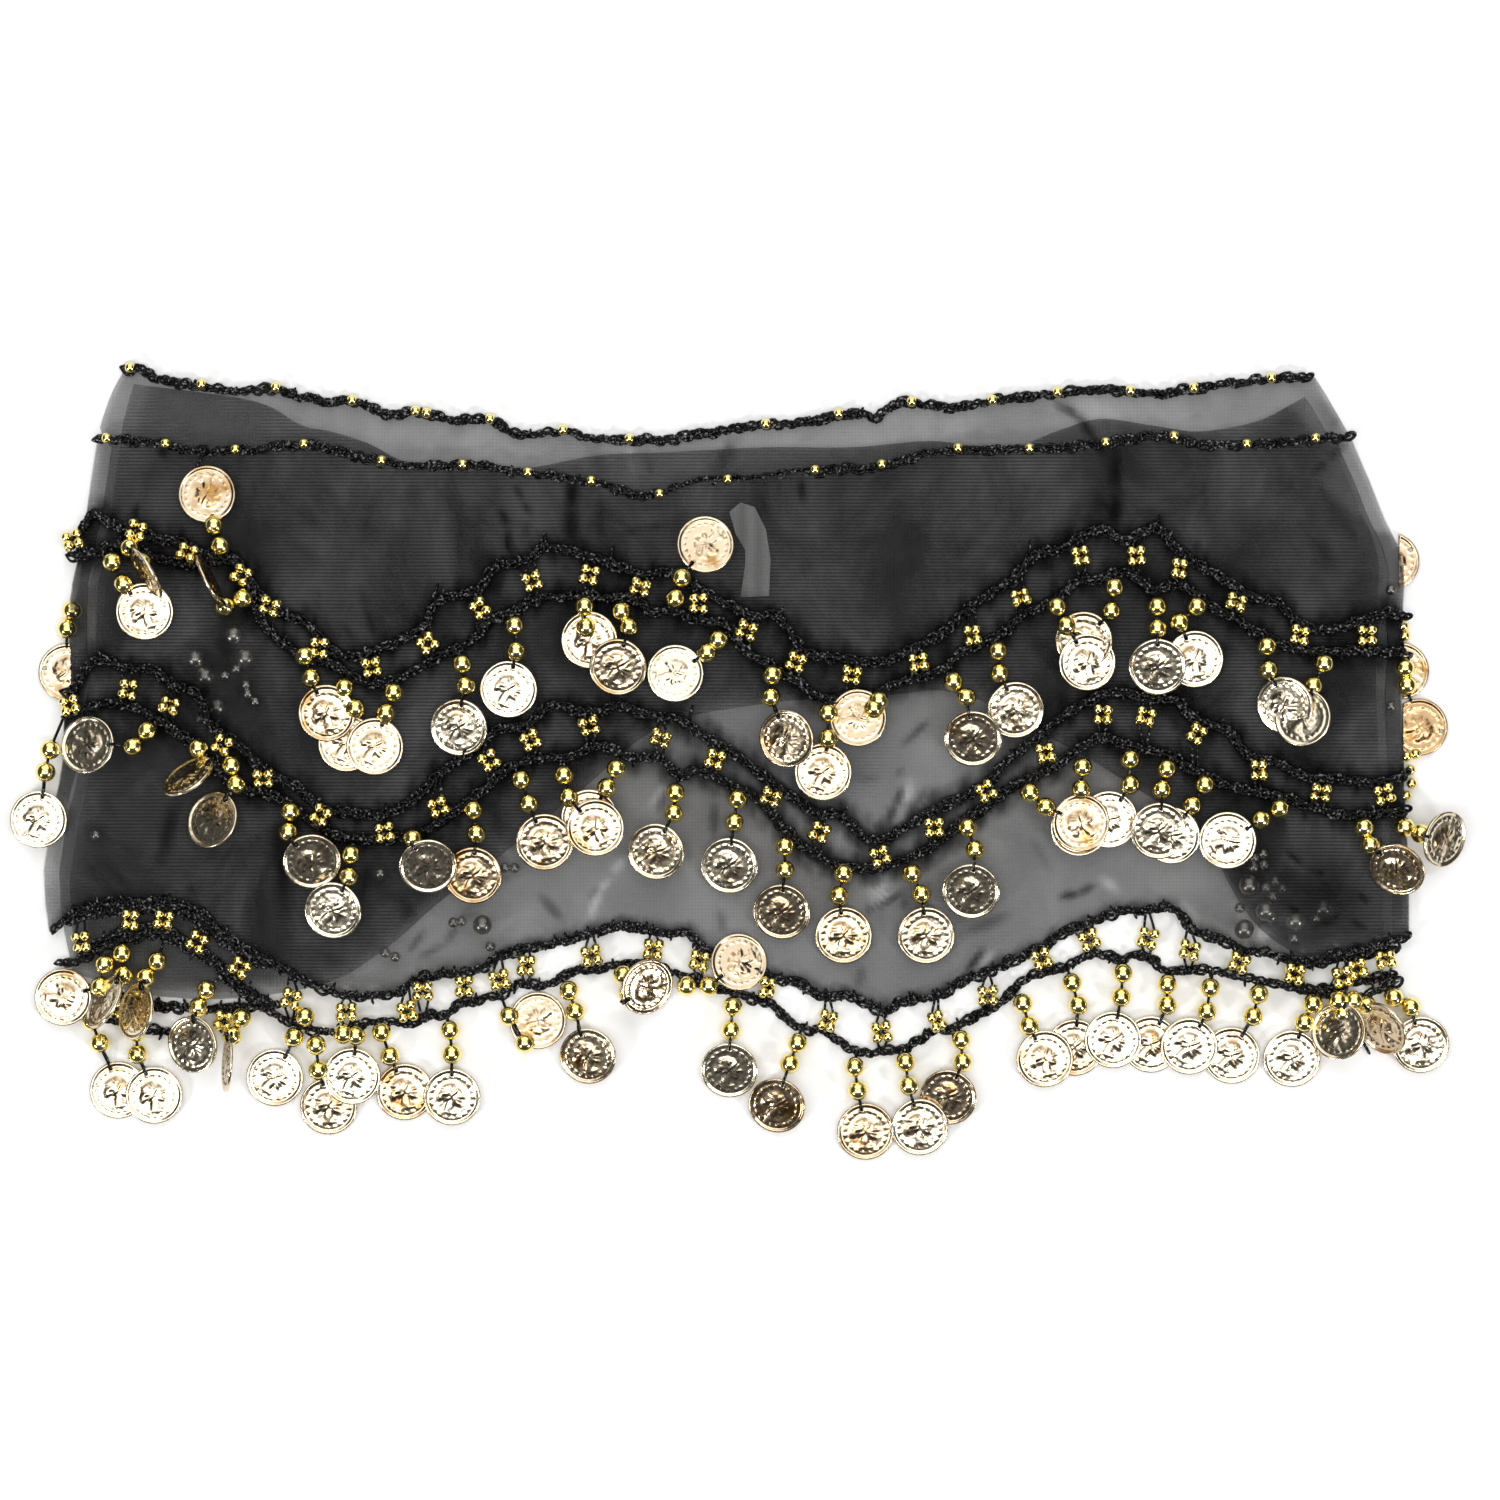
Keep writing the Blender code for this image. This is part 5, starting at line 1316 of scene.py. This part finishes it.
def build_row(name, rest):
    """One row of trim: its chains and threads, its beads and its coins."""
    dice = random.Random(name)
    upper_name, lower_name = name + "_upper", name + "_lower"
    threads, beads, coins = Stock(), Stock(), Stock()
    for chain_name in (upper_name, lower_name):
        add_chain(threads, chain_line(SMOOTH_COURSES[chain_name], rest), dice,
                  spacing=1.8 if chain_name == "row_3_upper" else 4.5)
    if name == "row_3":
        for course in doubled_chains():
            add_chain(threads, chain_line(course, rest), dice, spacing=1.5)
    for x, y in FLOWERS[name]:
        add_flower(beads, threads, SMOOTH_COURSES[upper_name], SMOOTH_COURSES[lower_name],
                   x, y, rest, dice)
    for spec in DANGLERS[name]:
        add_dangler(beads, coins, threads, spec, rest, dice, (upper_name, lower_name))
    settle_trim(name, threads, beads, coins)


def build_top_cord(name, node, base):
    """The crocheted cord along a top edge, with its small beads."""
    dice = random.Random(node)
    threads, beads = Stock(), Stock()
    line = chain_line(SMOOTH_COURSES[name], lambda x, y, reach: base)
    add_chain(threads, line, dice, fuzz=1.4)
    places = []
    for x in CORD_BEADS[name]:
        y = course_height(name, x)
        middle, end_z = (x, y + 0.3, base + CORD_BEAD_RISE), base + CORD_THREAD_RISE
        places.append((middle, (1.0, 0.0, 0.2)))
        threads.add(*tube(bent_line((x - 3, y, end_z), middle, (x + 3, y, end_z)), SMALL_THREAD, 5))
    add_beads(beads, "small_bead", places)
    settle_trim(node, threads, beads)


# What shows of the hidden stretches' trim: the node, X where it starts and where its two chains end,
# and the X of each flower.
BACK_TRIMS = (
    ("back_trim_left", -212, -148, -178, (-198, -163.5)),
    ("back_trim_right", 172, 206, 206, (174.5, 194)),
)


def build_back_trims():
    """What shows of the hidden stretches' trim past their hem, at the two lower corners."""
    for node, first_x, last_x, lower_last_x, flowers in BACK_TRIMS:
        dice = random.Random(node)
        threads, beads, coins = Stock(), Stock(), Stock()
        across = np.linspace(first_x, last_x, 60)
        upper, lower = (np.stack([across, course_height("back_hem", across) - drop], axis=1)
                        for drop in TRIM_DROPS)
        add_chain(threads, chain_line(upper, on_surface), dice, spacing=1.5)
        add_chain(threads, chain_line(lower[across <= lower_last_x], on_surface), dice)
        for x in flowers:
            middle_y = (height_on(upper, x) + height_on(lower, x)) / 2
            add_flower(beads, threads, upper, lower, x, middle_y, on_surface, dice)
        for spec in DANGLERS.get(node, ()):
            add_dangler(beads, coins, threads, spec, on_surface, dice, (lower,))
        settle_trim(node, threads, beads, coins)


# Name, middle, where the fold hides the rest of the coin, its turn, how darkened, and its solids.
SIDE_COINS = (
    ("side_coin_left", -213.2, -7.0, -211.8, 80, 0.3, ("side_coin_left",)),
    ("side_coin_right_upper", 204.9, 28.0, 207.4, -60, 0.55, ("side_coin_right_upper",)),
    ("side_coin_right_middle", 207.9, -6.6, 208.6, 20, 0.45, ()),
    ("side_coin_right_lower", 213.8, -24.4, 208.6, -100, 0.8, ("side_coin_right_lower",)),
)


def build_side_coins():
    """Coins of the hidden stretches that look out from under the side folds."""
    sizes = bpy.context.scene.scarf_sizes
    for name, x, y, clear_x, turn, darkened, nodes in SIDE_COINS:
        coins = Stock()
        middle = Vector((x, y, REST_CLEARANCE + sizes.coin_thickness / 2 / MM))
        matrix = place_matrix(middle, *turned(RIGHT, AHEAD, math.radians(turn)), UP)
        add_coin(coins, matrix, darkened)
        piece = coins.make(name + "_stamped", finish_for("coin"))
        pick(piece)
        bpy.ops.object.mode_set(mode="EDIT")
        bpy.ops.mesh.select_all(action="SELECT")
        outward = 1.0 if clear_x > 0 else -1.0
        bpy.ops.mesh.bisect(plane_co=(clear_x * MM, 0, 0), plane_no=(-outward, 0, 0), clear_outer=True,
                            use_fill=True)
        bpy.ops.object.mode_set(mode="OBJECT")
        settle(piece, "gold_trim", *nodes)


def bead_kind(diameter):
    """The master for a bead of some diameter."""
    return "large_bead" if diameter > LEAST_LARGE else "small_bead"


def build_fold_beads():
    """Beads of the hidden stretches that look out at the side folds, and their threads."""
    beads, threads = Stock(), Stock()
    for x, y, diameter in FOLD_BEADS:
        over_edge = 0.9 if x > 0 and diameter > LEAST_LARGE else 0.1
        add_beads(beads, bead_kind(diameter), [((x, y, diameter / 2 + over_edge), (0.1, 1.0, 0.0))])
    for (x0, y0), (x1, y1) in FOLD_LINKS:
        threads.add(*tube(bent_line(Vector((x0, y0, 3.3)), Vector((x1, y1, 1.5))), DANGLER_THREAD, 5))
    settle(threads.make("fold_bead_threads", finish_for("thread")), "thread")
    return settle(beads.make("fold_beads", finish_for("bead")), "gold_trim")


def build_hidden_beads():
    """Beads of the hidden stretches that show as soft glints through the front stretch."""
    beads = Stock()
    base = FRONT_REST - 0.25
    for x, y, diameter in HIDDEN_BEADS:
        add_beads(beads, bead_kind(diameter), [((x, y, base + diameter / 2), (1.0, 0.4, 0.0))])
    return settle(beads.make("hidden_trim_beads", finish_for("dull_bead")), "gold_trim")


def build_picots():
    """Short thread ends and picots that stand off the chains."""
    threads = Stock()
    for x, y, turn in PICOTS:
        half = turned(RIGHT, AHEAD, math.radians(turn))[0] * PICOT_LENGTH / 2
        middle = Vector((x, y, (above_front(x, y, 2.0) if y > -100 else 0.0) + PICOT_RISE))
        line = bent_line(middle - half - UP * 0.6, middle, middle + half - UP * 0.3, step=0.6)
        threads.add(*tube(line, STITCH_THREAD))
    return settle(threads.make("thread_ends", finish_for("thread")), "thread")


# ---- properties, operators and panel ---------------------------------------------------------------
def size_property(name, description, metres):
    """A length that a maker can set."""
    return bpy.props.FloatProperty(name=name, description=description, default=metres, unit="LENGTH")


def colour_property(name, description, hex_value):
    """A colour that a maker can set."""
    return bpy.props.FloatVectorProperty(name=name, description=description, subtype="COLOR",
                                         default=colour(hex_value))


class ScarfSizes(bpy.types.PropertyGroup):
    """Sizes that a maker would change."""
    bead_diameter: size_property("Bead", "Diameter of a dangler's bead", 0.0064)
    small_bead_diameter: size_property("Small bead", "Diameter of a small bead", 0.0035)
    coin_diameter: size_property("Coin", "Diameter of a coin", 0.018)
    coin_thickness: size_property("Coin thickness", "Thickness at a coin's rim", 0.001)


class ScarfLooks(bpy.types.PropertyGroup):
    """Colours and cover that a maker would change."""
    cloth_colour: colour_property("Chiffon", "Colour of the cloth's threads", "#373738")
    cover: bpy.props.FloatProperty(name="Cover", description="Share of light that each face stops",
                                   default=0.325, min=0.0, max=1.0, subtype="FACTOR")
    thread_colour: colour_property("Thread", "Colour of the crochet thread", "#060606")
    # painted highlight: the grey of the flecks that stand for the thread's glints
    painted_glint_colour: colour_property("Glints", "Colour of the thread's glints", "#77777a")
    bead_colour: colour_property("Beads", "Colour of the beads' plating", "#fff0a8")
    coin_colour: colour_property("Coins", "Colour of the coins' raised work", "#f2e6cc")
    # the coins' brown: random grime, and painted shade on the relief's slopes, the ring inside the rim
    # and the dots
    grime_and_shade_colour: colour_property("Hollows", "Colour in the coins' hollows", "#4e3319")
    tarnish_colour: colour_property("Tarnish", "Colour of a darkened coin", "#a9814e")


class SCARF_OT_cloth(bpy.types.Operator):
    """Lay the three stretches of chiffon and the label"""
    bl_idname = "scarf.cloth"
    bl_label = "Chiffon"

    def execute(self, context):
        for build, width, depth, area, below in STRETCH_CUTS:
            build()
        build_label()
        return {"FINISHED"}


class SCARF_OT_cords(bpy.types.Operator):
    """Crochet the cords along the two top edges"""
    bl_idname = "scarf.cords"
    bl_label = "Top cords"

    def execute(self, context):
        build_top_cord("back_top", "back_top_cord", REST_CLEARANCE)
        build_top_cord("front_top", "front_top_cord", FRONT_REST)
        return {"FINISHED"}


class SCARF_OT_rows(bpy.types.Operator):
    """Crochet the three rows of trim, with their flowers, beads and coins"""
    bl_idname = "scarf.rows"
    bl_label = "Rows of trim"

    def execute(self, context):
        for name, rest in (("row_1", above_front), ("row_2", above_front), ("row_3", beside_front)):
            build_row(name, rest)
        build_picots()
        return {"FINISHED"}


class SCARF_OT_hidden_trim(bpy.types.Operator):
    """Make what shows of the hidden stretches' trim"""
    bl_idname = "scarf.hidden_trim"
    bl_label = "Hidden trim"

    def execute(self, context):
        build_back_trims()
        build_side_coins()
        build_hidden_beads()
        build_fold_beads()
        clear_masters()
        return {"FINISHED"}


def area_light(name, place, target, size, radiance):
    """A soft oval lamp that faces a target; radiance is its brightness as seen."""
    data = bpy.data.lights.new(name, "AREA")
    data.shape = "ELLIPSE"
    data.size, data.size_y = size
    data.energy = radiance * math.pi * size[0] * size[1] * math.pi / 4
    lamp = bpy.data.objects.new(name, data)
    lamp.location = place
    lamp.rotation_euler = (Vector(target) - Vector(place)).to_track_quat("-Z", "Y").to_euler()
    bpy.context.scene.collection.objects.link(lamp)
    return lamp


class SCARF_OT_stage(bpy.types.Operator):
    """Set the pale floor, the soft lamps and the camera"""
    bl_idname = "scarf.stage"
    bl_label = "Stage"

    def execute(self, context):
        scene = context.scene
        bpy.ops.object.select_all(action="DESELECT")
        bpy.ops.mesh.primitive_plane_add(size=6.0, location=(0.0, 0.0, 0.0))
        floor = context.active_object
        floor.name = "floor"
        # white paper card, dull all over
        card, tree, shader, _place = new_finish("white_card", 0.9)
        feed(tree, shader, {"Base Color": (*colour("#fafafa"), 1.0), "Specular IOR Level": 0.1})
        floor.data.materials.append(card)
        area_light("ceiling_softbox", (0.0, 0.5, 2.2), (0.0, 0.5, 0.0), (3.0, 2.3), 1.35)
        area_light("front_strip", (0.0, -0.45, 2.15), (0.0, -0.45, 0.0), (3.0, 0.55), 4.0)
        area_light("tall_softbox", (0.0, 2.1, 1.5), (0.0, 0.0, 0.0), (3.8, 2.5), 1.4)
        for side in (-1, 1):
            area_light(f"front_softbox_{'left' if side < 0 else 'right'}", (side * 1.6, -1.25, 1.27),
                       (0.0, 0.0, 0.0), (0.45, 0.45), 34.0)
        world = bpy.data.worlds.new("studio_room")
        scene.world = world
        world.use_nodes = True
        world.node_tree.nodes["Background"].inputs["Color"].default_value = (0.05, 0.05, 0.05, 1.0)
        data = bpy.data.cameras.new("camera")
        data.lens, data.sensor_width = 100.0, 36.0
        camera = bpy.data.objects.new("camera", data)
        # straight above, where the scarf is nearly as wide as the square frame
        camera.location = (0.0025, -0.0316, 1.317)
        scene.collection.objects.link(camera)
        scene.camera = camera
        scene.view_settings.view_transform = "Standard"
        # three stretches have six faces, and a ray meets each on its way down and up again
        scene.cycles.transparent_max_bounces = 32
        return {"FINISHED"}


class SCARF_PT_panel(bpy.types.Panel):
    """The scarf's pieces, sizes and colours"""
    bl_idname = "SCARF_PT_panel"
    bl_label = "Hip scarf"
    bl_space_type = "VIEW_3D"
    bl_region_type = "UI"
    bl_category = "Hip scarf"

    def draw(self, context):
        layout = self.layout
        for operator in OPERATORS:
            layout.operator(operator.bl_idname)
        for group in (context.scene.scarf_sizes, context.scene.scarf_looks):
            for name in group.__annotations__:
                layout.prop(group, name)


OPERATORS = (SCARF_OT_cloth, SCARF_OT_cords, SCARF_OT_rows, SCARF_OT_hidden_trim, SCARF_OT_stage)
CLASSES = (ScarfSizes, ScarfLooks, *OPERATORS, SCARF_PT_panel)


def register():
    for cls in CLASSES:
        bpy.utils.register_class(cls)
    bpy.types.Scene.scarf_sizes = bpy.props.PointerProperty(type=ScarfSizes)
    bpy.types.Scene.scarf_looks = bpy.props.PointerProperty(type=ScarfLooks)


def unregister():
    del bpy.types.Scene.scarf_looks
    del bpy.types.Scene.scarf_sizes
    for cls in reversed(CLASSES):
        bpy.utils.unregister_class(cls)


def main():
    register()
    bpy.ops.scarf.cloth()
    bpy.ops.scarf.cords()
    bpy.ops.scarf.rows()
    bpy.ops.scarf.hidden_trim()
    bpy.ops.scarf.stage()


if __name__ == "__main__":
    main()
